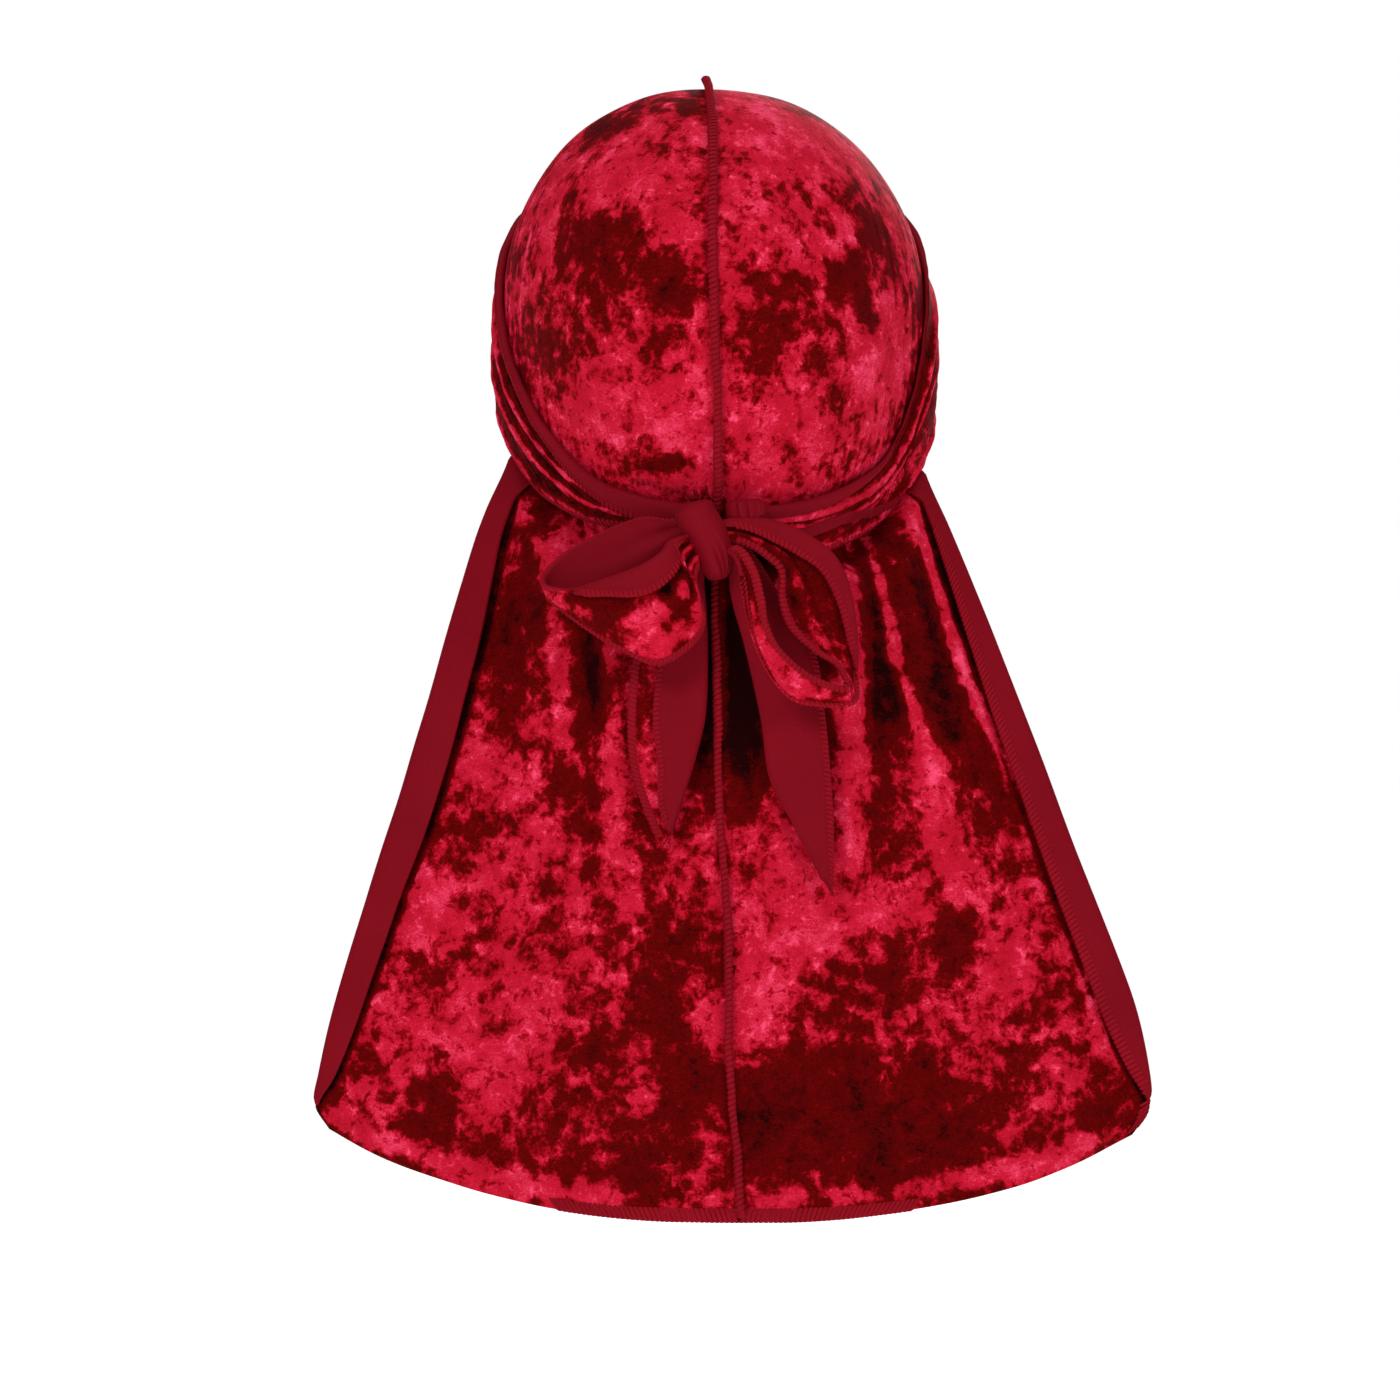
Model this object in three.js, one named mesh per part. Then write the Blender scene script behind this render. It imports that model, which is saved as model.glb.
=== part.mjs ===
// A velvet durag as it is worn: a two-panel crown, a gathered tail hanging from the nape, and two
// straps that pass round the head and are tied behind it in a bow.
// Millimetres. +X is the wearer's right, +Y the way the face looks, +Z up.
// The origin is the highest point inside the crown, where the head carries it.
import * as THREE from 'three';
import { mergeVertices } from 'three/addons/utils/BufferGeometryUtils.js';

// ---- Driving dimensions ----
const CLOTH = 1.2;            // velvet with its knitted back
const GAP = 0.3;              // air between two pieces that lie on each other
const PANEL_GAP = 0.45;       // each panel stops this far from the plane of the centre seam
const SEAT = 0.1;             // extra air under the seams, which lie on curved cloth

// The head that fills the crown: a rounded form, widest at its equator.
const HEAD = {
  halfWidth: 80, halfDepth: 96.5, equator: -93.5, above: 93.5, below: 108,
  power: 2.2,                 // squareness of the upper half, 2 is an ellipsoid
  nape: 0.15,                 // how much less the nape tapers than the sides
  lean: -2.2,                 // sideways lean of the top
};
const RIM = { middle: -115, tilt: 51 };       // the crown's edge: low at the nape, high in front

const STRAP_LIFT = CLOTH + 0.9 + CLOTH / 2;   // from the head to the middle of a strap's cloth
const FOLD_RADIUS = 1.2;                      // turned edge of a strap
const LAPEL_RADIUS = 1.7;                     // turned edge of a bow loop

const CROWN_GRID = { around: 18, down: 12 };
const TAIL_GRID = { tucked: 3, hanging: 16, web: 21, arc: 3, strip: 1 };
const STRAP_GRID = { along: 26, web: 7, arc: 2, strip: 1 };
const LOOP_GRID = { along: 20, web: 6, arc: 2, strip: 1 };
const END_GRID = { along: 9, web: 3, arc: 3, strip: 2 };
const LUMP_GRID = { around: 14, down: 10 };
const SEAM_STATIONS = { crown: 32, tail: 30 };
const SAMPLES = { strap: 300, width: 24, tail: 80 };   // points measured along a curve to space a grid

// ---- Short tables, one row for each section ----
// Straps: upper and lower edge heights at each azimuth from the middle of the back, how far the
// upper edge lifts and the lower one flares off the head, and the width of the turned upper edge.
const LEFT_STRAP = [
  { azimuth: 8, upper: -159.5, lower: -167, lift: 8, flare: 7.4, turn: 2 },
  { azimuth: 14, upper: -158, lower: -167.6, lift: 2, flare: 5.5, turn: 3 },
  { azimuth: 23, upper: -155.8, lower: -167.8, lift: 0.4, flare: 5.5, turn: 5 },
  { azimuth: 39, upper: -148, lower: -165, lift: 0, flare: 3.8, turn: 7 },
  { azimuth: 53, upper: -130.5, lower: -159.5, lift: 0, flare: 3.2, turn: 6 },
  { azimuth: 63, upper: -112.5, lower: -153.5, lift: 0, flare: 3.4, turn: 4 },
  { azimuth: 73, upper: -92.5, lower: -142.5, lift: 0, flare: 3.4, turn: 3 },
  { azimuth: 82, upper: -74, lower: -130, lift: 0, flare: 3, turn: 2.5 },
  { azimuth: 92, upper: -56, lower: -118.5, lift: 0, flare: 1, turn: 2 },
  { azimuth: 105, upper: -43, lower: -106, lift: 0, flare: 0, turn: 2 },
  { azimuth: 120, upper: -40, lower: -94, lift: 0, flare: 0, turn: 2 },
  { azimuth: 135, upper: -44, lower: -83, lift: 0, flare: 0, turn: 2 },
  { azimuth: 150, upper: -56, lower: -74, lift: 0, flare: 0, turn: 2 },
  { azimuth: 160, upper: -63, lower: -69.5, lift: 0, flare: 0, turn: 2 },
];
const RIGHT_STRAP = [
  { azimuth: 5.5, upper: -160, lower: -169, lift: 5, flare: 4, turn: 2 },
  { azimuth: 12, upper: -159.7, lower: -173, lift: 2, flare: 9, turn: 4 },
  { azimuth: 20, upper: -159, lower: -175.5, lift: 1, flare: 12, turn: 6 },
  { azimuth: 32, upper: -156, lower: -175.5, lift: 1, flare: 10, turn: 7 },
  { azimuth: 46, upper: -149.5, lower: -171, lift: 0.8, flare: 7, turn: 6 },
  { azimuth: 58, upper: -139, lower: -166, lift: 0.6, flare: 5, turn: 5 },
  { azimuth: 65, upper: -121, lower: -161.5, lift: 0.5, flare: 4.4, turn: 3 },
  { azimuth: 72, upper: -92, lower: -151, lift: 0.4, flare: 5.5, turn: 2 },
  { azimuth: 82, upper: -70, lower: -135, lift: 0.2, flare: 4.6, turn: 2 },
  { azimuth: 92, upper: -55, lower: -124, lift: 0, flare: 1.6, turn: 2 },
  { azimuth: 105, upper: -43, lower: -107, lift: 0, flare: 0, turn: 2 },
  { azimuth: 120, upper: -40, lower: -94, lift: 0, flare: 0, turn: 2 },
  { azimuth: 135, upper: -44, lower: -83, lift: 0, flare: 0, turn: 2 },
  { azimuth: 150, upper: -56, lower: -74, lift: 0, flare: 0, turn: 2 },
  { azimuth: 160, upper: -63, lower: -69.5, lift: 0, flare: 0, turn: 2 },
];
// Lengthwise folds of the straps: place across the width, height and half width.
const LEFT_STRAP_FOLDS = [
  { across: 0.34, height: 1.9, half: 2.6 },
  { across: 0.62, height: 1.7, half: 2.8 },
  { across: 0.9, height: 1.2, half: 2.2 },
];
const RIGHT_STRAP_FOLDS = [
  { across: 0.4, height: 2.2, half: 2.6 },
  { across: 0.66, height: 1.4, half: 2.4 },
  { across: 0.9, height: 2.0, half: 2.6 },
];

// Tail: middle line and the two folded side edges, from the nape down.
const TAIL_MIDDLE = [
  { z: -164, x: 0, y: -77.4 }, { z: -173, x: 0, y: -79.6 }, { z: -190, x: 0, y: -81.5 },
  { z: -235, x: 0.2, y: -84.5 }, { z: -300, x: 3.2, y: -89 }, { z: -370, x: 6.1, y: -94.5 },
  { z: -421.5, x: 8.4, y: -99 },
];
const TAIL_LEFT_EDGE = [
  { z: -123, x: -74.6, y: -19 }, { z: -142, x: -76.6, y: -21 }, { z: -172, x: -86.4, y: -33 },
  { z: -217, x: -100.5, y: -43 }, { z: -266, x: -115.2, y: -51 }, { z: -305, x: -127.8, y: -56 },
  { z: -340, x: -138.5, y: -60 }, { z: -370, x: -146, y: -63 }, { z: -383, x: -148, y: -64 },
  { z: -391, x: -143, y: -65.5 },
];
const TAIL_RIGHT_EDGE = [
  { z: -123, x: 74.6, y: -19 }, { z: -142, x: 76.6, y: -21 }, { z: -172, x: 86.4, y: -33 },
  { z: -208, x: 101.2, y: -41 }, { z: -247, x: 116.8, y: -48 }, { z: -285, x: 131.2, y: -54 },
  { z: -340, x: 152.2, y: -60 }, { z: -366, x: 159, y: -63 }, { z: -384, x: 160, y: -64 },
  { z: -393, x: 154, y: -65.5 },
];
// Pleats of the tail: where each ridge (or valley, when negative) starts at the nape and where it
// would meet the hem, as parts of the half width, its height, half width and how far down it fades.
const LEFT_PLEATS = [
  { top: 0.1, hem: 0.06, height: -3.5, half: 6, fades: 0.4 },
  { top: 0.3, hem: 0.1, height: 2.6, half: 4, fades: 0.5 },
  { top: 0.39, hem: 0.12, height: -2.6, half: 4.5, fades: 0.5 },
  { top: 0.53, hem: 0.26, height: 5, half: 4.5, fades: 0.6 },
  { top: 0.65, hem: 0.4, height: -3, half: 5, fades: 0.5 },
  { top: 0.77, hem: 0.6, height: 3, half: 4.5, fades: 0.55 },
];
const RIGHT_PLEATS = [
  { top: 0.12, hem: 0.06, height: -3.5, half: 6, fades: 0.4 },
  { top: 0.34, hem: 0.14, height: 2.4, half: 4, fades: 0.45 },
  { top: 0.52, hem: 0.2, height: -2.6, half: 4.5, fades: 0.5 },
  { top: 0.67, hem: 0.28, height: 4.6, half: 4.5, fades: 0.6 },
  { top: 0.79, hem: 0.5, height: -3, half: 4.5, fades: 0.55 },
  { top: 0.87, hem: 0.66, height: 3, half: 4, fades: 0.6 },
];
// Turned strip along each side of the tail: its width, and the radius of its fold, which is
// pressed flat under the strap.
const LEFT_TAIL_TURN = [
  { z: -123, width: 13, radius: 0.8 }, { z: -140, width: 15.5, radius: 0.9 },
  { z: -160, width: 17.5, radius: 2.2 }, { z: -264, width: 16, radius: 2.5 },
  { z: -301, width: 13.8, radius: 2.3 }, { z: -338, width: 11.4, radius: 2 },
  { z: -366, width: 7.6, radius: 1.6 }, { z: -384, width: 0.5, radius: 1.2 },
];
const RIGHT_TAIL_TURN = [
  { z: -123, width: 10, radius: 0.8 }, { z: -146, width: 11, radius: 0.9 },
  { z: -166, width: 12.5, radius: 2 }, { z: -203, width: 13.5, radius: 2.4 },
  { z: -238, width: 14, radius: 2.5 }, { z: -338, width: 13.6, radius: 2.2 },
  { z: -362, width: 9, radius: 1.6 }, { z: -382, width: 0.5, radius: 1.2 },
];

// Bow loops: both long edges of the ribbon from the knot out and back to it, how far the middle
// bellies out, and the width of the turned lapel on the first edge.
const LEFT_LOOP = [
  { ax: -17.6, ay: -89.5, az: -166, bx: -16, by: -89.5, bz: -180, belly: 0, turn: 1.5 },
  { ax: -27.5, ay: -89, az: -165.5, bx: -26, by: -88.5, bz: -194, belly: -1, turn: 1.5 },
  { ax: -42, ay: -88.5, az: -171, bx: -40.5, by: -87.5, bz: -201, belly: -1, turn: 1.5 },
  { ax: -55, ay: -89.5, az: -178.5, bx: -52.5, by: -88.5, bz: -199, belly: 0, turn: 1.5 },
  { ax: -62, ay: -94, az: -186, bx: -59.5, by: -93, bz: -196, belly: 1, turn: 1.5 },
  { ax: -60, ay: -100, az: -190.5, bx: -57.5, by: -99, bz: -198, belly: 1.5, turn: 1.5 },
  { ax: -50.5, ay: -105, az: -191.5, bx: -47, by: -102.5, bz: -206, belly: 3, turn: 2 },
  { ax: -39.5, ay: -108.5, az: -188.5, bx: -34, by: -104.5, bz: -214, belly: 5, turn: 5 },
  { ax: -28.5, ay: -110, az: -184.5, bx: -19.5, by: -105.5, bz: -219, belly: 6, turn: 9 },
  { ax: -21, ay: -107.5, az: -180, bx: -5, by: -104.5, bz: -207, belly: 4.5, turn: 8 },
  { ax: -17.9, ay: -102.5, az: -176.5, bx: -7.5, by: -103, bz: -189, belly: 1.5, turn: 4 },
];
const RIGHT_LOOP = [
  { ax: 8.5, ay: -92, az: -167.5, bx: 11, by: -98, bz: -176, belly: 0, turn: 6 },
  { ax: 18.5, ay: -90.5, az: -168, bx: 18.5, by: -100, bz: -180.5, belly: -1, turn: 8 },
  { ax: 31.5, ay: -89.5, az: -172.5, bx: 23.5, by: -100.5, bz: -186, belly: -2, turn: 8.5 },
  { ax: 43, ay: -89.5, az: -181, bx: 23.5, by: -100.5, bz: -196, belly: -3, turn: 7 },
  { ax: 48.8, ay: -90.5, az: -196, bx: 27, by: -101, bz: -206, belly: -3, turn: 5 },
  { ax: 50.5, ay: -92.5, az: -213, bx: 36, by: -101.5, bz: -214.5, belly: -2, turn: 3 },
  { ax: 51, ay: -97, az: -227, bx: 44, by: -103, bz: -219.5, belly: 0, turn: 1.5 },
  { ax: 49, ay: -103, az: -233.5, bx: 46.5, by: -107.5, bz: -227.5, belly: 1, turn: 1.5 },
  { ax: 37, ay: -106, az: -234, bx: 34, by: -111, bz: -223.5, belly: 2.5, turn: 1.5 },
  { ax: 27, ay: -106, az: -231, bx: 23.5, by: -112.5, bz: -214.5, belly: 3, turn: 1.5 },
  { ax: 17.5, ay: -105, az: -218, bx: 18.5, by: -111.5, bz: -205, belly: 2, turn: 1.5 },
  { ax: 12, ay: -104, az: -203, bx: 17, by: -109, bz: -196, belly: 1, turn: 1.5 },
  { ax: 9.5, ay: -103, az: -191, bx: 15.5, by: -105.5, bz: -187, belly: 0, turn: 1.5 },
];
// Strap ends below the knot: both long edges from the knot down, and the turned width on the first.
const LEFT_END = [
  { ax: -4.5, ay: -85.5, az: -187, bx: -18, by: -84.5, bz: -187, belly: 0, turn: 9 },
  { ax: -3.6, ay: -85, az: -201, bx: -26, by: -82.5, bz: -202, belly: 0.5, turn: 14 },
  { ax: -3.2, ay: -86, az: -217, bx: -30, by: -83, bz: -219, belly: 1, turn: 17 },
  { ax: -4, ay: -88, az: -238, bx: -31.6, by: -84.5, bz: -240, belly: 1, turn: 18 },
  { ax: -7.7, ay: -89.5, az: -254, bx: -30.3, by: -86.5, bz: -258, belly: 1, turn: 12.5 },
  { ax: -11.6, ay: -90.5, az: -267, bx: -25, by: -88.5, bz: -274, belly: 0.5, turn: 9 },
  { ax: -15.6, ay: -91, az: -280, bx: -19.5, by: -90, bz: -286, belly: 0, turn: 1.5 },
];
const RIGHT_END = [
  { ax: 5, ay: -93, az: -178, bx: 14, by: -88, bz: -180, belly: -1, turn: 1.5 },
  { ax: 5.5, ay: -91.5, az: -193, bx: 24, by: -84.5, bz: -196, belly: -2, turn: 1.5 },
  { ax: 11, ay: -88.5, az: -214, bx: 36, by: -84, bz: -216, belly: -1, turn: 1.5 },
  { ax: 16.4, ay: -88.5, az: -239, bx: 39.4, by: -87, bz: -239, belly: -0.5, turn: 1.5 },
  { ax: 19.6, ay: -90, az: -261, bx: 41.5, by: -89.5, bz: -262, belly: 0, turn: 1.5 },
  { ax: 28, ay: -92, az: -277, bx: 42.4, by: -91.5, bz: -281, belly: 0, turn: 1.5 },
  { ax: 39, ay: -93.5, az: -297, bx: 42.6, by: -93.5, bz: -303.5, belly: 0, turn: 1.2 },
];

// The wrap of the knot and the tuck above it: rounded lumps, turned in the plane of the back.
const KNOT = {
  centre: [-5.6, -94.6, -174], half: [10.6, 10, 15], slant: -20, creases: 3, creaseDepth: 0.9,
};
const KNOT_TUCK = {
  centre: [10.2, -91.6, -160.6], half: [6.6, 3.6, 5.2], slant: 8, creases: 4, creaseDepth: 0.5,
};
const LUMP_POWER = 0.85;      // squareness of a lump, 1 is an ellipsoid
const CREASE_SLANT = [0.9, 0.25];             // how the creases run over a lump, across and up

// Raised seams: the two seam allowances bound together on the outside.
const SEAM = { half: 1.25, height: 3.6, wander: 0.7, wanderTurns: 11, lean: 0.35, leanTurns: 17 };
const CROWN_SEAM = { start: 0.45, crest: 1.4, crestHalf: 0.5 };   // lower at the nape, higher on top
const TAIL_SEAM = { from: 0.05, to: 0.995, start: 0.4, size: 0.85 };

// ---- Helpers ----
const DEG = Math.PI / 180;
const mix = (a, b, t) => a + (b - a) * t;
const clamp01 = (t) => Math.min(1, Math.max(0, t));
const smooth = (t) => clamp01(t) ** 2 * (3 - 2 * clamp01(t));
const bell = (d, half) => Math.exp(-((d / half) ** 2));
const ends = (t, sharp) => smooth(t * sharp) * smooth((1 - t) * sharp);   // 0 at both ends, 1 between
const steps = (count) => Array.from({ length: count + 1 }, (_, i) => i / count);

// Smooth value of one column of a table at a place along its key column.
function read(table, key, column, at) {
  const forward = table[table.length - 1][key] > table[0][key];
  const rows = forward ? table : [...table].reverse();
  const last = rows.length - 1;
  if (at <= rows[0][key]) return rows[0][column];
  if (at >= rows[last][key]) return rows[last][column];
  const i = rows.findIndex((row) => row[key] > at) - 1;
  const slope = (k) => {
    const low = rows[Math.max(0, k - 1)];
    const high = rows[Math.min(last, k + 1)];
    return (high[column] - low[column]) / (high[key] - low[key]);
  };
  const span = rows[i + 1][key] - rows[i][key];
  const t = (at - rows[i][key]) / span;
  const a = rows[i][column];
  const b = rows[i + 1][column];
  return a * (1 + 2 * t) * (1 - t) ** 2 + b * t * t * (3 - 2 * t)
    + span * (slope(i) * t * (1 - t) ** 2 - slope(i + 1) * t * t * (1 - t));
}

// Running length along a line of points.
function lengths(line) {
  const run = [0];
  for (let k = 1; k < line.length; k += 1) run.push(run[k - 1] + line[k].distanceTo(line[k - 1]));
  return run;
}

const TURN_SHUT = 0.6;        // a turned strip narrower than this lies flat in the edge
const TURN_OPEN = 1.6;        // and it is fully turned once it is this many radii wider
const TURN_LEAST = 0.8;       // least width of the flat part of a turned strip

// Cross profile of a web of cloth from 0 to `width`, as [across, out] pairs. A turned edge is a
// half circle and a strip lying over the web. As the strip fades, its cloth lies flat in the edge.
function profile({ width, grid, first = null, second = null, folds = [] }) {
  const out = (w) => folds.reduce((sum, f) => sum + f.height * bell(w - f.at, f.half), 0);
  const turned = (edge) => {
    if (!edge) return [];
    const { radius } = edge;
    const closing = smooth((edge.width - TURN_SHUT) / (TURN_OPEN * radius));
    const flat = Math.max(TURN_LEAST, edge.width - radius);
    const count = grid.arc + grid.strip;
    const base = out(edge.flip ? width - radius : radius);
    return steps(count).slice(1).map((t, i) => {
      const angle = Math.PI * Math.min(1, (i + 1) / grid.arc);
      const strip = Math.max(0, i + 1 - grid.arc) / grid.strip * flat;
      const w = radius - radius * Math.sin(angle) + strip;
      const h = base + radius * (1 - Math.cos(angle));
      return [mix(radius * (1 - t), w, closing), mix(base, h, closing)];
    });
  };
  const from = first ? first.radius : 0;
  const to = second ? width - second.radius : width;
  const web = steps(grid.web).map((t) => [mix(from, to, t), out(mix(from, to, t))]);
  const head = turned(first).reverse();
  const tail = turned(second && { ...second, flip: true }).map(([w, h]) => [width - w, h]);
  return [...head, ...web, ...tail];
}

// Closed solid of even thickness about a grid of points. Its edges are closed square.
function sheetSolid(points, thickness = CLOTH, normals = null) {
  const rows = points.length;
  const columns = points[0].length;
  const held = (i, count) => Math.min(count - 1, Math.max(0, i));
  const at = (i, j) => points[held(i, rows)][held(j, columns)];
  const normal = (i, j) => {
    if (normals) return normals[i][j];
    const down = at(i + 1, j).clone().sub(at(i - 1, j));
    const across = at(i, j + 1).clone().sub(at(i, j - 1));
    return across.cross(down).normalize();
  };
  const vertices = [];
  for (const side of [0.5, -0.5]) {
    for (let i = 0; i < rows; i += 1) {
      for (let j = 0; j < columns; j += 1) {
        const p = at(i, j).clone().addScaledVector(normal(i, j), side * thickness);
        vertices.push(p.x, p.y, p.z);
      }
    }
  }
  const index = [];
  const quad = (a, b, c, d) => index.push(a, b, c, a, c, d);
  const top = (i, j) => i * columns + j;
  const under = (i, j) => rows * columns + top(i, j);
  for (let i = 0; i < rows - 1; i += 1) {
    for (let j = 0; j < columns - 1; j += 1) {
      quad(top(i, j), top(i, j + 1), top(i + 1, j + 1), top(i + 1, j));
      quad(under(i, j), under(i + 1, j), under(i + 1, j + 1), under(i, j + 1));
    }
    const end = columns - 1;
    quad(top(i, 0), top(i + 1, 0), under(i + 1, 0), under(i, 0));
    quad(top(i + 1, end), top(i, end), under(i, end), under(i + 1, end));
  }
  for (let j = 0; j < columns - 1; j += 1) {
    const end = rows - 1;
    quad(top(0, j + 1), top(0, j), under(0, j), under(0, j + 1));
    quad(top(end, j), top(end, j + 1), under(end, j + 1), under(end, j));
  }
  return closed(vertices, index);
}

// Closed geometry from vertices and triangles: coinciding points are merged, flat triangles are
// dropped, and the faces are turned outwards.
function closed(vertices, index) {
  const raw = new THREE.BufferGeometry();
  raw.setAttribute('position', new THREE.Float32BufferAttribute(vertices, 3));
  raw.setIndex(index);
  const merged = mergeVertices(raw, 1e-3);
  const place = merged.getAttribute('position');
  const order = merged.getIndex().array;
  const kept = [];
  let volume = 0;
  const [a, b, c] = [new THREE.Vector3(), new THREE.Vector3(), new THREE.Vector3()];
  for (let i = 0; i < order.length; i += 3) {
    const [p, q, r] = order.slice(i, i + 3);
    if (p === q || q === r || r === p) continue;
    kept.push(p, q, r);
    volume += a.fromBufferAttribute(place, p).dot(
      b.fromBufferAttribute(place, q).cross(c.fromBufferAttribute(place, r)));
  }
  merged.setIndex(volume > 0 ? kept : kept.reverse());
  merged.computeVertexNormals();
  return merged;
}

// Solid swept along stations that each give a place, the two directions of the section and a size.
function sweptSolid(section, stations) {
  const vertices = [];
  const index = [];
  const count = section.length;
  for (const { place, side, up, size } of stations) {
    for (const [s, h] of section) {
      const p = place.clone().addScaledVector(side, s * size).addScaledVector(up, h * size);
      vertices.push(p.x, p.y, p.z);
    }
  }
  const last = (stations.length - 1) * count;
  for (let i = 0; i < stations.length - 1; i += 1) {
    for (let j = 0; j < count; j += 1) {
      const [p, q] = [i * count + j, i * count + ((j + 1) % count)];
      index.push(p, q, q + count, p, q + count, p + count);
    }
  }
  for (let j = 1; j < count - 1; j += 1) {
    index.push(0, j + 1, j, last, last + j, last + j + 1);
  }
  return closed(vertices, index);
}

// ---- The head form ----
const rimHeight = (azimuth) => RIM.middle - RIM.tilt * Math.cos(azimuth);

// Point of the head form at an azimuth from the middle of the back and at a polar angle, 0 on top.
function headPoint(azimuth, polar) {
  const upper = polar < Math.PI / 2;
  const power = upper ? 2 / HEAD.power : 1;
  const level = Math.sign(Math.cos(polar)) * Math.abs(Math.cos(polar)) ** power;
  let girth = Math.abs(Math.sin(polar)) ** power;
  if (!upper) girth = 1 - (1 - girth) * (1 - HEAD.nape * Math.max(0, Math.cos(azimuth)) ** 2);
  return new THREE.Vector3(
    HEAD.halfWidth * girth * Math.sin(azimuth) + HEAD.lean * Math.max(0, level),
    -HEAD.halfDepth * girth * Math.cos(azimuth),
    HEAD.equator + (upper ? HEAD.above : HEAD.below) * level,
  );
}

function headNormal(azimuth, polar) {
  const e = 1e-3;
  if (polar < 0.01) return new THREE.Vector3(0, 0, 1);
  const round = headPoint(azimuth + e, polar).sub(headPoint(azimuth - e, polar));
  const down = headPoint(azimuth, polar + e).sub(headPoint(azimuth, polar - e));
  return down.cross(round).normalize();
}

// Polar angle at which the head form passes a height.
function polarAt(z) {
  const level = (z - HEAD.equator) / (z > HEAD.equator ? HEAD.above : HEAD.below);
  return Math.acos(level > 0 ? Math.min(1, level) ** (HEAD.power / 2) : Math.max(-1, level));
}

// Point over the head form: `lift` along its normal, `flare` straight outwards from the neck.
function onHead(azimuth, z, lift, flare = 0) {
  const polar = polarAt(z);
  const outward = new THREE.Vector3(Math.sin(azimuth), -Math.cos(azimuth), 0);
  return headPoint(azimuth, polar)
    .addScaledVector(headNormal(azimuth, polar), lift)
    .addScaledVector(outward, flare);
}

// ---- Crown ----
function crownPanel(side) {
  const points = [];
  const normals = [];
  for (const down of steps(CROWN_GRID.down)) {
    const row = [];
    const rowNormals = [];
    for (const round of steps(CROWN_GRID.around)) {
      const azimuth = side * Math.PI * round;
      const polar = down * polarAt(rimHeight(azimuth));
      const normal = headNormal(azimuth, polar);
      row.push(headPoint(azimuth, polar).addScaledVector(normal, CLOTH / 2)
        .add(new THREE.Vector3(side * PANEL_GAP, 0, 0)));
      rowNormals.push(normal);
    }
    points.push(row);
    normals.push(rowNormals);
  }
  return sheetSolid(points, CLOTH, normals);
}

// Section of a seam: upright sides, drawn in towards a narrow top.
const SEAM_SECTION = [
  [-1, 0], [1, 0], [0.95, 0.7], [0.4, 1], [-0.4, 1], [-0.95, 0.7],
].map(([s, h]) => [s * SEAM.half, h * SEAM.height]);

// Stations of a raised seam, with the slight wander and lean of a hand-fed edge.
function seamStations(count, placeAt, upAt, sizeAt) {
  return steps(count).map((t) => {
    const place = placeAt(t);
    const up = upAt(t).normalize();
    const along = placeAt(Math.min(1, t + 0.01)).sub(placeAt(Math.max(0, t - 0.01))).normalize();
    const side = new THREE.Vector3().crossVectors(along, up).normalize();
    const leaning = SEAM.lean * Math.sin(SEAM.leanTurns * t + 0.8);
    const astray = SEAM.wander * Math.sin(SEAM.wanderTurns * t) * ends(t, 6);
    place.addScaledVector(side, astray);
    return { place, side, up: up.addScaledVector(side, leaning).normalize(), size: sizeAt(t) };
  });
}

function crownSeam() {
  const [from, to] = [-polarAt(rimHeight(0) + 2), polarAt(rimHeight(Math.PI) - 1)];
  const at = (t) => mix(from, to, t);
  const place = (t) => [at(t) < 0 ? 0 : Math.PI, Math.abs(at(t))];
  return sweptSolid(SEAM_SECTION, seamStations(
    SEAM_STATIONS.crown,
    (t) => headPoint(...place(t)).addScaledVector(headNormal(...place(t)), CLOTH + GAP + SEAT),
    (t) => headNormal(...place(t)),
    (t) => mix(CROWN_SEAM.start, 1, smooth(t * 16))
      + (CROWN_SEAM.crest / SEAM.height) * bell(at(t), CROWN_SEAM.crestHalf),
  ));
}

// ---- Tail ----
const TAIL_REACH = 78 * DEG;  // how far round the head the tail is sewn on each side

const TAIL_SIDES = {
  left: {
    sign: -1, edge: TAIL_LEFT_EDGE, pleats: LEFT_PLEATS, turn: LEFT_TAIL_TURN, strap: LEFT_STRAP,
  },
  right: {
    sign: 1, edge: TAIL_RIGHT_EDGE, pleats: RIGHT_PLEATS, turn: RIGHT_TAIL_TURN, strap: RIGHT_STRAP,
  },
};
const HEM_SAG = 2.6;          // how sharply the hem rises towards its corners
const TAIL_ROUND = 1.6;       // roundness of the tail in plan
const TAIL_OPENS = 0.45;      // part of the drop over which the nape's curve opens out to the hem's
// Drop over which the cloth swings clear of the strap, at the middle and side edges, and between.
const SWING = { ends: 8, between: 24 };
// How far the middle of the tail stands off the nape, and to what azimuth. The strap's own flare
// is followed beyond it, and is left again where the cloth leans forward to the side edge.
const MIDDLE_FLARE = { out: 3, to: 9, leaves: 42, gone: 64 };
const HELD_DEPTH = -180;      // the cloth hangs free of the head below this
const NAPE_GAP = 1.5;         // the tail starts this far below the crown's rim
const CINCH = { lean: 7, least: 3 };   // degrees the side edges lean forward, and the least depth held
// A pleat's share: full depth below the strap, where it starts to fade, its growth in width down
// to the hem, its distance from the centre seam and from the side edge, and its lean outwards.
const PLEAT = { rises: 18, fades: 0.12, spreads: 1.6, seam: 5, edge: 9, lean: 0.35 };
// Wave of the free hem: height, turns across a panel, and where down the drop it comes in.
const HEM_WAVE = { height: 1.6, turns: 9.4, from: 0.3, over: 0.5, seam: 6, edge: 5 };

// Height of the tail's cloth: q runs from the middle to the side edge, t from the nape to the hem.
function tailHeight(side, q, t) {
  const [middle, edge] = [TAIL_MIDDLE, side.edge];
  const hem = mix(middle.at(-1).z, edge.at(-1).z, q ** HEM_SAG);
  return mix(rimHeight(q * TAIL_REACH) - NAPE_GAP, hem, t);
}

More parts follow.
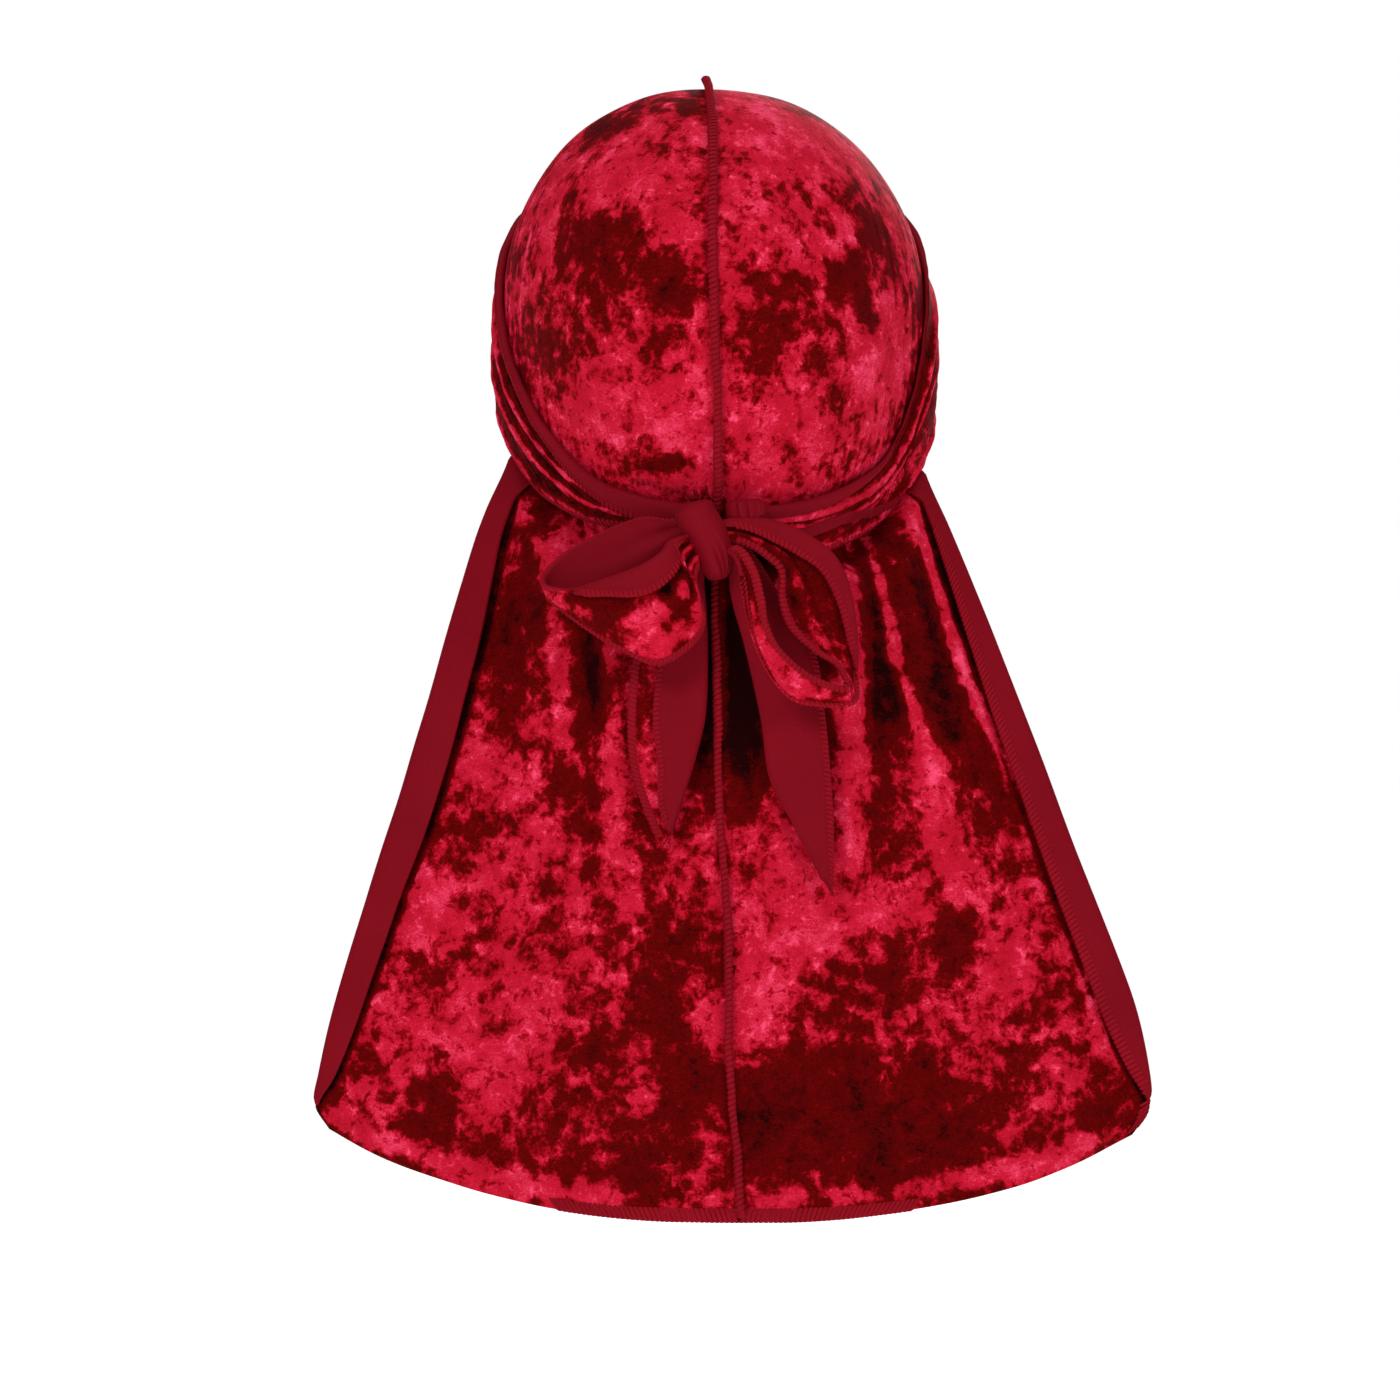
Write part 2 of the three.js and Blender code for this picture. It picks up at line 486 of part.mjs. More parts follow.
// Height at which the strap lets go of the tail. Towards the side edges the cloth leans forward,
// so it meets the strap nearer to the middle of the back.
function cinchHeight(side, q) {
  const degrees = q * TAIL_REACH / DEG - CINCH.lean * q * q;
  const lower = read(side.strap, 'azimuth', 'lower', degrees);
  return Math.min(lower, rimHeight(q * TAIL_REACH) - CINCH.least);
}

// Place of the cloth where it hangs free: the nape's curve opens out to the hem's.
function freeTail(side, q, t) {
  const [zMiddle, zEdge] = [tailHeight(side, 0, t), tailHeight(side, 1, t)];
  const onRim = (azimuth) => onHead(azimuth, rimHeight(azimuth), CLOTH / 2);
  const [rim, rimMiddle, rimEdge] = [q, 0, 1].map((at) => onRim(side.sign * at * TAIL_REACH));
  const opened = smooth(t / TAIL_OPENS);
  const acrossX = mix(rim.x / rimEdge.x, q, opened);
  const acrossY = mix((rim.y - rimMiddle.y) / (rimEdge.y - rimMiddle.y), q ** TAIL_ROUND, opened);
  const middleX = read(TAIL_MIDDLE, 'z', 'x', zMiddle) + side.sign * PANEL_GAP;
  return new THREE.Vector3(
    mix(middleX, read(side.edge, 'z', 'x', zEdge), acrossX),
    mix(read(TAIL_MIDDLE, 'z', 'y', zMiddle), read(side.edge, 'z', 'y', zEdge), acrossY),
    tailHeight(side, q, t),
  );
}

// Place of the cloth where the strap holds it to the head.
function heldTail(side, q, z) {
  const azimuth = side.sign * q * TAIL_REACH;
  const degrees = q * TAIL_REACH / DEG;
  const { out, to, leaves, gone } = MIDDLE_FLARE;
  const flare = mix(out, read(side.strap, 'azimuth', 'flare', degrees), smooth(degrees / to))
    * (1 - smooth((degrees - leaves) / (gone - leaves)));
  const rim = rimHeight(azimuth);
  const swell = flare * smooth((rim - z) / (rim - cinchHeight(side, q)));
  const held = onHead(azimuth, Math.max(z, HELD_DEPTH), CLOTH / 2, swell).setZ(z);
  held.x += side.sign * PANEL_GAP * (1 - q);
  return held;
}

// How far pleats and the wave of the hem stand out from the cloth, `below` millimetres under the
// strap. Pleats fade towards the hem.
function tailRise(side, q, t, below) {
  const halfWidth = Math.abs(read(side.edge, 'z', 'x', tailHeight(side, 1, t)));
  const room = smooth(q * halfWidth / PLEAT.seam) * smooth((1 - q) * PLEAT.edge);
  const pleats = side.pleats.reduce((sum, p) => {
    const centre = mix(p.top, p.hem, Math.sqrt(t));
    const fade = smooth(below / PLEAT.rises) * (1 - smooth((t - PLEAT.fades) / p.fades));
    const half = p.half * (1 + PLEAT.spreads * t);
    return sum + p.height * fade * bell((q - centre) * halfWidth, half);
  }, 0);
  const wave = Math.sin(q * HEM_WAVE.turns + side.sign) * smooth((t - HEM_WAVE.from) / HEM_WAVE.over)
    * smooth(q * HEM_WAVE.seam) * smooth((1 - q) * HEM_WAVE.edge);
  return pleats * room + HEM_WAVE.height * wave;
}

// Point of the tail's middle surface.
function tailPoint(side, q, t) {
  const z = tailHeight(side, q, t);
  const below = cinchHeight(side, q) - z;
  const swing = mix(SWING.ends, SWING.between, Math.sin(Math.PI * q));
  const point = heldTail(side, q, z).lerp(freeTail(side, q, t), smooth(below / swing));
  const outward = new THREE.Vector3(side.sign * PLEAT.lean * q, -1, 0).normalize();
  return point.addScaledVector(outward, tailRise(side, q, t, below));
}

// Values of t for the rows: a few under the strap, close together where the cloth swings out.
function tailRows(side, q) {
  const [top, hem] = [tailHeight(side, q, 0), tailHeight(side, q, 1)];
  const cinch = (top - (cinchHeight(side, q) - 1)) / (top - hem);
  const tucked = steps(TAIL_GRID.tucked).slice(0, -1).map((t) => t * cinch);
  return [...tucked, ...steps(TAIL_GRID.hanging).map((t) => mix(cinch, 1, mix(t, t * t, 0.45)))];
}

function tailPanel(side) {
  const fine = steps(SAMPLES.tail);
  const rowCount = TAIL_GRID.tucked + TAIL_GRID.hanging + 1;
  const points = [];
  const rowsAt = fine.map((q) => tailRows(side, q));
  for (let i = 0; i < rowCount; i += 1) {
    const line = fine.map((q, k) => tailPoint(side, q, rowsAt[k][i]));
    const run = lengths(line);
    const width = run.at(-1);
    const turn = (column) => read(side.turn, 'z', column, line.at(-1).z);
    const shape = profile({
      width, grid: TAIL_GRID, second: { radius: turn('radius'), width: turn('width') },
    });
    points.push(shape.map(([w, h]) => {
      const k = Math.min(line.length - 2, Math.max(0, run.findIndex((r) => r > w) - 1));
      const index = w >= width ? line.length - 2 : k;
      const t = (w - run[index]) / (run[index + 1] - run[index]);
      const point = line[index].clone().lerp(line[index + 1], t);
      const tangent = line[index + 1].clone().sub(line[index]).setZ(0).normalize();
      const outward = new THREE.Vector3(tangent.y, -tangent.x, 0).multiplyScalar(side.sign);
      return point.addScaledVector(outward, h);
    }));
  }
  return sheetSolid(side.sign > 0 ? points : points.map((row) => [...row].reverse()));
}

function tailSeam() {
  const side = TAIL_SIDES.right;
  const place = (t) => tailPoint(side, 0, mix(TAIL_SEAM.from, TAIL_SEAM.to, t))
    .add(new THREE.Vector3(-PANEL_GAP, -(CLOTH / 2 + GAP + SEAT), 0));
  return sweptSolid(SEAM_SECTION, seamStations(
    SEAM_STATIONS.tail,
    place,
    () => new THREE.Vector3(0, -1, 0),
    (t) => mix(TAIL_SEAM.start, TAIL_SEAM.size, smooth(t * 6 - 0.4)),
  ));
}

// ---- Straps on the head ----
const STRAP_FOLD = { from: 8, over: 14, thins: 95, thinOver: 30, least: 0.4 };   // room for folds

// Azimuths of a strap's stations, evenly spaced along its two edges.
function strapStations(table) {
  const samples = steps(SAMPLES.strap).map((t) => mix(table[0].azimuth, table.at(-1).azimuth, t));
  const edge = (column) => samples.map(
    (degrees) => onHead(degrees * DEG, read(table, 'azimuth', column, degrees), STRAP_LIFT),
  );
  const [upper, lower] = [lengths(edge('upper')), lengths(edge('lower'))];
  const run = upper.map((length, k) => length + lower[k]);
  const reached = (t) => run.findIndex((r) => r >= t * run.at(-1) - 1e-6);
  return steps(STRAP_GRID.along).map((t) => samples[reached(t)]);
}

function headStrap(table, folds, sign) {
  const points = [];
  for (const degrees of strapStations(table)) {
    const value = (column) => read(table, 'azimuth', column, degrees);
    const azimuth = sign * degrees * DEG;
    const [upper, lower] = [value('upper'), value('lower')];
    const flare = (t) => mix(value('lift'), value('flare'), smooth(t));
    const over = (t, lift) => onHead(azimuth, mix(upper, lower, t), STRAP_LIFT + lift, flare(t));
    const width = lengths(steps(SAMPLES.width).map((t) => over(t, 0))).at(-1);
    const room = smooth((width - STRAP_FOLD.from) / STRAP_FOLD.over)
      * mix(1, STRAP_FOLD.least, smooth((degrees - STRAP_FOLD.thins) / STRAP_FOLD.thinOver));
    const shape = profile({
      width, grid: STRAP_GRID,
      first: { radius: FOLD_RADIUS, width: value('turn') },
      folds: folds.map((f) => ({ at: f.across * width, height: f.height * room, half: f.half })),
    });
    points.push(shape.map(([w, h]) => over(w / width, h)));
  }
  return sheetSolid(sign > 0 ? points.map((row) => [...row].reverse()) : points);
}

// ---- Ribbons: bow loops and strap ends ----
function ribbon(table, grid, radius) {
  const rows = table.map((row, key) => ({ ...row, key }));
  const last = rows.length - 1;
  const value = (column, s) => read(rows, 'key', column, s);
  const edge = (name, s) => new THREE.Vector3(...['x', 'y', 'z'].map((axis) => value(name + axis, s)));
  const centre = (s) => edge('a', s).lerp(edge('b', s), 0.5);
  return sheetSolid(steps(grid.along).map((t) => {
    const s = t * last;
    const start = edge('a', s);
    const chord = edge('b', s).sub(start);
    const travel = centre(Math.min(last, s + 0.05)).sub(centre(Math.max(0, s - 0.05)));
    const outward = chord.clone().cross(travel).normalize();
    const width = chord.length();
    const belly = (w) => value('belly', s) * Math.sin(Math.PI * clamp01(w / width));
    const first = { radius: Math.min(radius, width / 5), width: value('turn', s) };
    return profile({ width, grid, first }).map(([w, h]) => start.clone()
      .addScaledVector(chord, w / width)
      .addScaledVector(outward, h + belly(w)));
  }));
}

// ---- Knot: a rounded wrap of the strap with slanting creases ----
function wrappedLump({ centre, half, slant, creases, creaseDepth }) {
  const ball = new THREE.SphereGeometry(1, LUMP_GRID.around, LUMP_GRID.down);
  ball.deleteAttribute('normal');
  ball.deleteAttribute('uv');
  const lump = mergeVertices(ball, 1e-4);
  const place = lump.getAttribute('position');
  for (let i = 0; i < place.count; i += 1) {
    const p = new THREE.Vector3().fromBufferAttribute(place, i);
    const along = p.x * CREASE_SLANT[0] + p.z * CREASE_SLANT[1];
    const crease = Math.cos(creases * Math.PI * along) * (1 - p.z * p.z);
    const squared = (v) => Math.sign(v) * Math.abs(v) ** LUMP_POWER;
    p.set(
      squared(p.x) * half[0],
      p.y * (half[1] - creaseDepth * (0.5 - 0.5 * crease)),
      squared(p.z) * half[2],
    );
    p.applyAxisAngle(new THREE.Vector3(0, 1, 0), -slant * DEG);
    place.setXYZ(i, p.x + centre[0], p.y + centre[1], p.z + centre[2]);
  }
  lump.computeVertexNormals();
  return lump;
}

// ---- Materials ----
const cloth = (color, roughness) => new THREE.MeshStandardMaterial({ color, roughness, metalness: 0 });
const VELVET = 0xa3132f;
const BACKING = 0x7f1320;
const THREAD = 0x8c2230;

// ---- Assembly ----
const durag = new THREE.Group();
durag.name = 'durag';

function add(name, geometry, color, roughness) {
  const mesh = new THREE.Mesh(geometry, cloth(color, roughness));
  mesh.name = name;
  durag.add(mesh);
}

add('crown_left', crownPanel(-1), VELVET, 0.45);
add('crown_right', crownPanel(1), VELVET, 0.45);
add('crown_seam', crownSeam(), THREAD, 0.8);
add('tail_left', tailPanel(TAIL_SIDES.left), VELVET, 0.45);
add('tail_right', tailPanel(TAIL_SIDES.right), VELVET, 0.45);
add('tail_seam', tailSeam(), THREAD, 0.8);
add('strap_left', headStrap(LEFT_STRAP, LEFT_STRAP_FOLDS, -1), VELVET, 0.45);
add('strap_right', headStrap(RIGHT_STRAP, RIGHT_STRAP_FOLDS, 1), VELVET, 0.45);
add('bow_loop_left', ribbon(LEFT_LOOP, LOOP_GRID, LAPEL_RADIUS), VELVET, 0.45);
add('bow_loop_right', ribbon(RIGHT_LOOP, LOOP_GRID, LAPEL_RADIUS), VELVET, 0.45);
add('strap_end_left', ribbon(LEFT_END, END_GRID, LAPEL_RADIUS), BACKING, 0.75);
add('strap_end_right', ribbon(RIGHT_END, END_GRID, FOLD_RADIUS), BACKING, 0.75);
add('knot', wrappedLump(KNOT), BACKING, 0.75);
add('knot_tuck', wrappedLump(KNOT_TUCK), BACKING, 0.75);

export default durag;
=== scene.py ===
"""Dressed model of a crushed-velvet durag in its worn form.

A two-panel crown with a raised centre seam, two straps that pass round the head and are tied
behind it in a bow, and a long gathered tail that hangs from the nape with its side edges turned.
Sizes are in millimetres and are turned to metres where a mesh is written.
+X is the wearer's right, +Y the way the face looks, +Z up.
"""
import logging
import math
from collections.abc import Callable
from dataclasses import dataclass, field
from enum import Enum

import bpy
import numpy as np
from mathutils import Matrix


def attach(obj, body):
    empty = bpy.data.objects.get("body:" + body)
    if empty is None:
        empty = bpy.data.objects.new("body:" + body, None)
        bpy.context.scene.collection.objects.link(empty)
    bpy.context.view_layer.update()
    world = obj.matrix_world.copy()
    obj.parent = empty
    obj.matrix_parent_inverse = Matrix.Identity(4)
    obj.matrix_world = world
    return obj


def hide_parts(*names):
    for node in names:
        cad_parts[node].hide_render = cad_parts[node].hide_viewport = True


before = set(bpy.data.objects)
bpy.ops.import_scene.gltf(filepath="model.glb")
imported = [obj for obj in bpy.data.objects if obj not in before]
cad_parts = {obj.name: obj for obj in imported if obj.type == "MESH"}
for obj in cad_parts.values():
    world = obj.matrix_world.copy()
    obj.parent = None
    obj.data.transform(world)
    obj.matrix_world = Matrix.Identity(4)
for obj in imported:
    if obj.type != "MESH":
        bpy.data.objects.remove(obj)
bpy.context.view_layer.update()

Numbers = np.ndarray | float
Colour = tuple[float, float, float]
Line = Callable[[np.ndarray], np.ndarray]

MM = 0.001
LOG = logging.getLogger("durag")
SEED = 7
CLOTH = 1.2  # thickness of the pile and the knit together
PANEL_GAP = 0.45  # from the middle plane to the edge of each panel
SEAM_FOOT = 0.7  # height over the head form at which a raised seam starts


# ---------------------------------------------------------------- small helpers
def smooth(t: Numbers) -> Numbers:
    """Ease from 0 to 1.

    Args:
        t: Place along the ease, held to 0..1.

    Returns:
        The eased value.
    """
    t = np.clip(t, 0.0, 1.0)
    return t * t * (3 - 2 * t)


def mix(a: Numbers, b: Numbers, t: Numbers) -> Numbers:
    """Blend of two values, `a` at 0 and `b` at 1."""
    return a + (b - a) * t


def bell(distance: Numbers, half: Numbers) -> Numbers:
    """Rounded hump, 1 at no distance."""
    return np.exp(-((distance / half) ** 2))


def within(at: Numbers, low: Numbers, high: Numbers, rise: float, fall: float) -> Numbers:
    """Ease in after one place and out before another.

    Args:
        at: Places.
        low: Where the first ease starts.
        high: Where the second ease ends.
        rise: Length of the first ease.
        fall: Length of the second.

    Returns:
        Shares of 0 to 1.
    """
    return smooth((at - low) / rise) * smooth((high - at) / fall)


def wavy(at: Numbers, *parts: tuple[Numbers, float, Numbers]) -> Numbers:
    """Sum of waves along a line.

    Args:
        at: Places along the line.
        parts: Height, turn for each step along the line, and start of each wave.

    Returns:
        Heights of the sum.
    """
    return sum(high * np.sin(turn * at + start) for high, turn, start in parts)


def unit(vectors: np.ndarray) -> np.ndarray:
    """Vectors along the last axis, scaled to length 1."""
    return vectors / np.maximum(np.linalg.norm(vectors, axis=-1, keepdims=True), 1e-9)


def run_lengths(line: np.ndarray) -> np.ndarray:
    """Running length along a line of points."""
    return np.concatenate([[0.0], np.cumsum(np.linalg.norm(np.diff(line, axis=0), axis=1))])


def between(places: np.ndarray, run: np.ndarray, vectors: np.ndarray) -> np.ndarray:
    """Vectors of a line, read at places along its running length."""
    return np.stack([np.interp(places, run, vectors[:, axis]) for axis in range(3)], 1)


@dataclass(frozen=True)
class Table:
    """Short table of sizes with named columns, read smoothly between its rows."""

    columns: tuple[str, ...]
    rows: tuple[tuple[float, ...], ...]

    def column(self, name: str) -> np.ndarray:
        """All values of one column."""
        return np.array([row[self.columns.index(name)] for row in self.rows], float)

    def read(self, name: str, at: Numbers, key: str | None = None) -> np.ndarray:
        """Smooth value of a column.

        Args:
            name: Column to read.
            at: Places along the key column.
            key: Key column, or the row number where there is none.

        Returns:
            The values at those places.
        """
        keys = self.column(key) if key else np.arange(len(self.rows), dtype=float)
        values = self.column(name)
        if keys[-1] < keys[0]:
            keys, values = keys[::-1], values[::-1]
        at = np.clip(np.asarray(at, float), keys[0], keys[-1])
        last = len(keys) - 1
        low = np.maximum(np.arange(last + 1) - 1, 0)
        high = np.minimum(np.arange(last + 1) + 1, last)
        slope = (values[high] - values[low]) / (keys[high] - keys[low])
        i = np.clip(np.searchsorted(keys, at, side="right") - 1, 0, last - 1)
        span = keys[i + 1] - keys[i]
        t = (at - keys[i]) / span
        ends = values[i] * (1 + 2 * t) * (1 - t) ** 2 + values[i + 1] * t * t * (3 - 2 * t)
        return ends + span * (slope[i] * t * (1 - t) ** 2 - slope[i + 1] * t * t * (1 - t))


@dataclass(frozen=True)
class Ripples:
    """Soft random unevenness of cloth, as a sum of slow waves through space."""

    seed: int
    length: float
    waves: int = 14
    stretch: tuple[float, float, float] = (1.0, 1.0, 1.0)
    shortest: float = 0.7
    longest: float = 1.5

    def at(self, points: np.ndarray) -> np.ndarray:
        """Height of the ripples.

        Args:
            points: Places in millimetres, along the last axis.

        Returns:
            Heights of about -1 to 1.
        """
        rng = np.random.default_rng(SEED + self.seed)
        height = np.zeros(points.shape[:-1])
        for _ in range(self.waves):
            way = unit(rng.normal(size=3)) * np.array(self.stretch)
            turns = 2 * math.pi / (self.length * rng.uniform(self.shortest, self.longest))
            height += np.sin(points @ way * turns + rng.uniform(0, 2 * math.pi))
        return height / math.sqrt(self.waves)


# ---------------------------------------------------------------- named choices
class Side(Enum):
    """The two sides of the durag, as signs of X."""

    LEFT = -1
    RIGHT = 1

    @property
    def word(self) -> str:
        """The side in a name."""
        return self.name.lower()


class Face(Enum):
    """Material slots of a sheet of cloth."""

    PILE = 0
    BACK = 1
    RIM = 2


class Edge(Enum):
    """Edges of a grid of cloth that can be overlocked."""

    FIRST = "first column"
    LAST = "last column"
    TOP = "first row"
    BOTTOM = "last row"


Edges = list[tuple[Edge, float, float]]


class Slot(Enum):
    """Material slots of the record."""

    VELVET = "velvet"
    BACKING = "backing"
    THREAD = "thread"


class Held(Enum):
    """Ways in which a sheet is held."""

    STRETCHED = "stretched"
    GATHERED = "gathered"
    HUNG = "hung"
    FOLDED = "folded"


class Lamp(Enum):
    """Kinds of studio light."""

    SOFTBOX = "AREA"
    SKY = "SUN"


# ---------------------------------------------------------------- finishes
class Nodes:
    """Short way to add and join the nodes of a material or a group."""

    def __init__(self, tree: bpy.types.NodeTree) -> None:
        """Keep the tree that nodes are added to."""
        self.tree = tree

    def feed(self, socket: bpy.types.NodeSocket, value: object) -> None:
        """Link an input to an output, or set its value.

        Args:
            socket: The input.
            value: Output socket, number, vector or colour.
        """
        if isinstance(value, bpy.types.NodeSocket):
            self.tree.links.new(value, socket)
        else:
            socket.default_value = (*value, 1.0) if socket.type == "RGBA" else value

    def set(self, node: bpy.types.Node, **settings: object) -> None:
        """Set a node's attributes and inputs.

        Args:
            node: The node.
            settings: Attributes, or values and sockets for inputs, by name with _ for a space.
        """
        for name, value in settings.items():
            if hasattr(node, name):
                setattr(node, name, value)
            else:
                self.feed(node.inputs[name.replace("_", " ")], value)

    def add(self, kind: str, label: str = "", **settings: object) -> bpy.types.Node:
        """Add a node.

        Args:
            kind: Type name of the node.
            label: Label in plain words.
            settings: Attributes and inputs, as for `set`.

        Returns:
            The new node.
        """
        node = self.tree.nodes.new(kind)
        node.label = label
        self.set(node, **settings)
        return node

    def math(self, operation: str, *values: object, clamp: bool = False) -> bpy.types.NodeSocket:
        """Add a Math node.

        Args:
            operation: Name of the operation.
            values: Its numbers or sockets.
            clamp: Whether the result is held to 0..1.

        Returns:
            The node's output socket.
        """
        node = self.add("ShaderNodeMath", operation=operation, use_clamp=clamp)
        for socket, value in zip(node.inputs, values):
            self.feed(socket, value)
        return node.outputs[0]

    def blend(self, factor: object, low: object, high: object) -> bpy.types.NodeSocket:
        """Add a colour mix.

        Args:
            factor: Socket or number for the mix.
            low: Colour or socket at 0.
            high: Colour or socket at 1.

        Returns:
            The mixed colour socket.
        """
        node = self.add("ShaderNodeMix", data_type="RGBA")
        for number, value in ((0, factor), (6, low), (7, high)):
            self.feed(node.inputs[number], value)
        return node.outputs[2]

    def ramp(self, value: bpy.types.NodeSocket, low: float, high: float) -> bpy.types.NodeSocket:
        """Add a smooth step from 0 to 1.

        Args:
            value: The value that is stepped.
            low: Value at 0.
            high: Value at 1.

        Returns:
            The node's output socket.
        """
        node = self.add("ShaderNodeMapRange", interpolation_type="SMOOTHSTEP", Value=value,
                        From_Min=low, From_Max=high)
        return node.outputs["Result"]


def new_group(name: str, **inputs: float | None) -> bpy.types.NodeTree:
    """Make an empty node group for the grain of a cloth, with the outputs Tone and Height.

    Args:
        name: Name of the group.
        inputs: First value of each input by name, or None for a vector.

    Returns:
        The group's tree, with its input and output nodes.
    """
    tree = bpy.data.node_groups.new(name, "ShaderNodeTree")
    for label, value in inputs.items():
        kind = "NodeSocketVector" if value is None else "NodeSocketFloat"
        socket = tree.interface.new_socket(name=label, in_out="INPUT", socket_type=kind)
        if value is not None:
            socket.default_value = value
    for label in ("Tone", "Height"):
        tree.interface.new_socket(name=label, in_out="OUTPUT", socket_type="NodeSocketFloat")
    tree.nodes.new("NodeGroupInput")
    tree.nodes.new("NodeGroupOutput")
    return tree


def new_finish(name: str, **settings: object) -> tuple[bpy.types.Material, Nodes, bpy.types.Node]:
    """Make a material with the settings of its Principled BSDF.

    Args:
        name: Name of the material.
        settings: Inputs of the shader, by name with _ for a space.

    Returns:
        The material, its nodes and its shader.
    """
    made = bpy.data.materials.new(name)
    made.use_nodes = True
    nodes = Nodes(made.node_tree)
    shader = made.node_tree.nodes["Principled BSDF"]
    nodes.set(shader, **settings)
    return made, nodes, shader


@dataclass(frozen=True)
class Grain:
    """One noise through the cloth, drawn out or pressed along Z."""

    label: str
    scale: float
    detail: float
    rough: float
    bend: float
    pressed: float = 1.0


@dataclass(frozen=True)
class CrushedPile:
    """Pattern of the velvet's pile: where it stands or lies, its fibres and its height, with each
    piece's painted shade and highlights added in.

    A share says how much a noise counts, a range says where a step starts and ends, and a tone
    is a place along the velvet's tones.
    """

    patches: Grain = Grain("crushed patches", 42.0, 9.0, 0.66, 0.25, 0.85)
    blots: Grain = Grain("ragged blots", 145.0, 7.0, 0.68, 0.3)
    slow: Grain = Grain("slow shade", 75.0, 6.0, 0.62, 0.3)
    pits: Grain = Grain("small pits", 210.0, 5.0, 0.66, 0.3)
    crinkle: Grain = Grain("crinkled pile", 620.0, 5.0, 0.72, 0.5, 2.2)
    fibre: Grain = Grain("fibres", 1900.0, 2.0, 0.6, 0.0)
    blot_share: float = 0.85
    nap_and_shading_share: float = 0.5
    lying_range: tuple[float, float] = (-0.28, 0.34)
    pit_range: tuple[float, float] = (0.58, 0.64)
    pit_tone: float = 0.3
    fleck_range: tuple[float, float] = (0.45, 0.3)
    fleck_tone: float = 0.2
    slow_share: float = 0.75
    shade_lying: float = 0.75
    shade_standing: float = 0.3
    # Extra tone for painted highlight above one lie, and less tone for painted deep shadow below
    # another.
    lightest_from: float = 0.9
    lightest_tone: float = 0.16
    deepest_from: float = -0.55
    deepest_tone: float = 0.24
    standing_tone: float = 0.2
    lying_tone: float = 0.54
    fibre_share: float = 0.7
    relief_share: float = 0.6

    def group(self) -> bpy.types.NodeTree:
        """Build the pattern as a node group.

        Returns:
            The group, with the outputs Tone and Height.
        """
        tree = new_group("crushed_pile_with_painted_shading", Place=None, Nap=0.0, Patch=42.0, Contrast=2.6, Crinkle=0.3)
        n = Nodes(tree)
        given, made = tree.nodes["Group Input"].outputs, tree.nodes["Group Output"].inputs

        def noise(grain: Grain) -> bpy.types.Node:
            """Add a noise through the cloth's place.

            Args:
                grain: The noise.

            Returns:
                Its node.
            """
            place = n.add("ShaderNodeVectorMath", f"{grain.label} place", operation="MULTIPLY")
            n.feed(place.inputs[0], given["Place"])
            n.feed(place.inputs[1], (1.0, 1.0, grain.pressed))
            return n.add(
                "ShaderNodeTexNoise", grain.label, Vector=place.outputs[0], Scale=grain.scale,
                Detail=grain.detail, Roughness=grain.rough, Distortion=grain.bend)

        def about_middle(node: bpy.types.Node, share: float) -> bpy.types.NodeSocket:
            """A noise about 0, at a share of its height."""
            return n.math("MULTIPLY", n.math("SUBTRACT", node.outputs["Fac"], 0.5), share)

        def beyond(high: object, low: object, tone: float) -> bpy.types.NodeSocket:
            """Tone for what one value is over another, and 0 below it."""
            return n.math("MULTIPLY", n.math("MAXIMUM", n.math("SUBTRACT", high, low), 0.0), tone)

        patches, pits = noise(self.patches), noise(self.pits)
        n.feed(patches.inputs["Scale"], given["Patch"])
        lie = n.math(
            "ADD", about_middle(patches, 1.0), about_middle(noise(self.blots), self.blot_share))
        lie = n.math("ADD", n.math("MULTIPLY", lie, given["Contrast"]),
                     n.math("MULTIPLY", given["Nap"], self.nap_and_shading_share))
        lying = n.ramp(lie, *self.lying_range)
        pitted = n.math("MULTIPLY", n.ramp(pits.outputs["Fac"], *self.pit_range), self.pit_tone)
        flecked = n.math(
            "MULTIPLY", n.ramp(pits.outputs["Fac"], *self.fleck_range), self.fleck_tone)
        shade = n.math("ADD", n.math("SUBTRACT", flecked, pitted),
                       about_middle(noise(self.slow), self.slow_share))
        shade = n.math("MULTIPLY", shade,
                       n.math("MULTIPLY_ADD", lying, self.shade_lying, self.shade_standing))
        # Painted highlight and painted deep shadow, where the pile pattern and the piece's painted
        # shading run far past their usual range.
        lightest = beyond(lie, self.lightest_from, self.lightest_tone)
        deepest = beyond(self.deepest_from, lie, self.deepest_tone)
        broad = n.math("ADD", n.math("SUBTRACT", lightest, deepest), self.standing_tone)
        shaped = n.math("MULTIPLY_ADD", lying, self.lying_tone, n.math("ADD", shade, broad))
        fine = n.math("ADD", about_middle(noise(self.crinkle), 1.0),
                      about_middle(noise(self.fibre), self.fibre_share))
        crinkled = n.math("MULTIPLY", fine, given["Crinkle"])
        n.feed(made["Tone"], n.math("ADD", shaped, crinkled, clamp=True))
        n.feed(made["Height"], n.math("ADD", n.math("MULTIPLY", shaped, self.relief_share), fine))
        return tree


def knit_group() -> bpy.types.NodeTree:
    """Build the group for the fine knit of the backing and of thread.

    Returns:
        The node group, with the outputs Tone and Height.
    """
    tree = new_group("fine_knit", Place=None, Gauge=1700.0)
    n = Nodes(tree)
    given, made = tree.nodes["Group Input"].outputs, tree.nodes["Group Output"].inputs
    loops = n.add("ShaderNodeTexVoronoi", "knit loops", feature="F1", Vector=given["Place"],
                  Scale=given["Gauge"])
    cloudy = n.add(
        "ShaderNodeTexNoise", "slow shade", Vector=given["Place"], Scale=35.0, Detail=3.0)
    n.feed(made["Tone"], cloudy.outputs["Fac"])
    n.feed(made["Height"], loops.outputs["Distance"])
    return tree


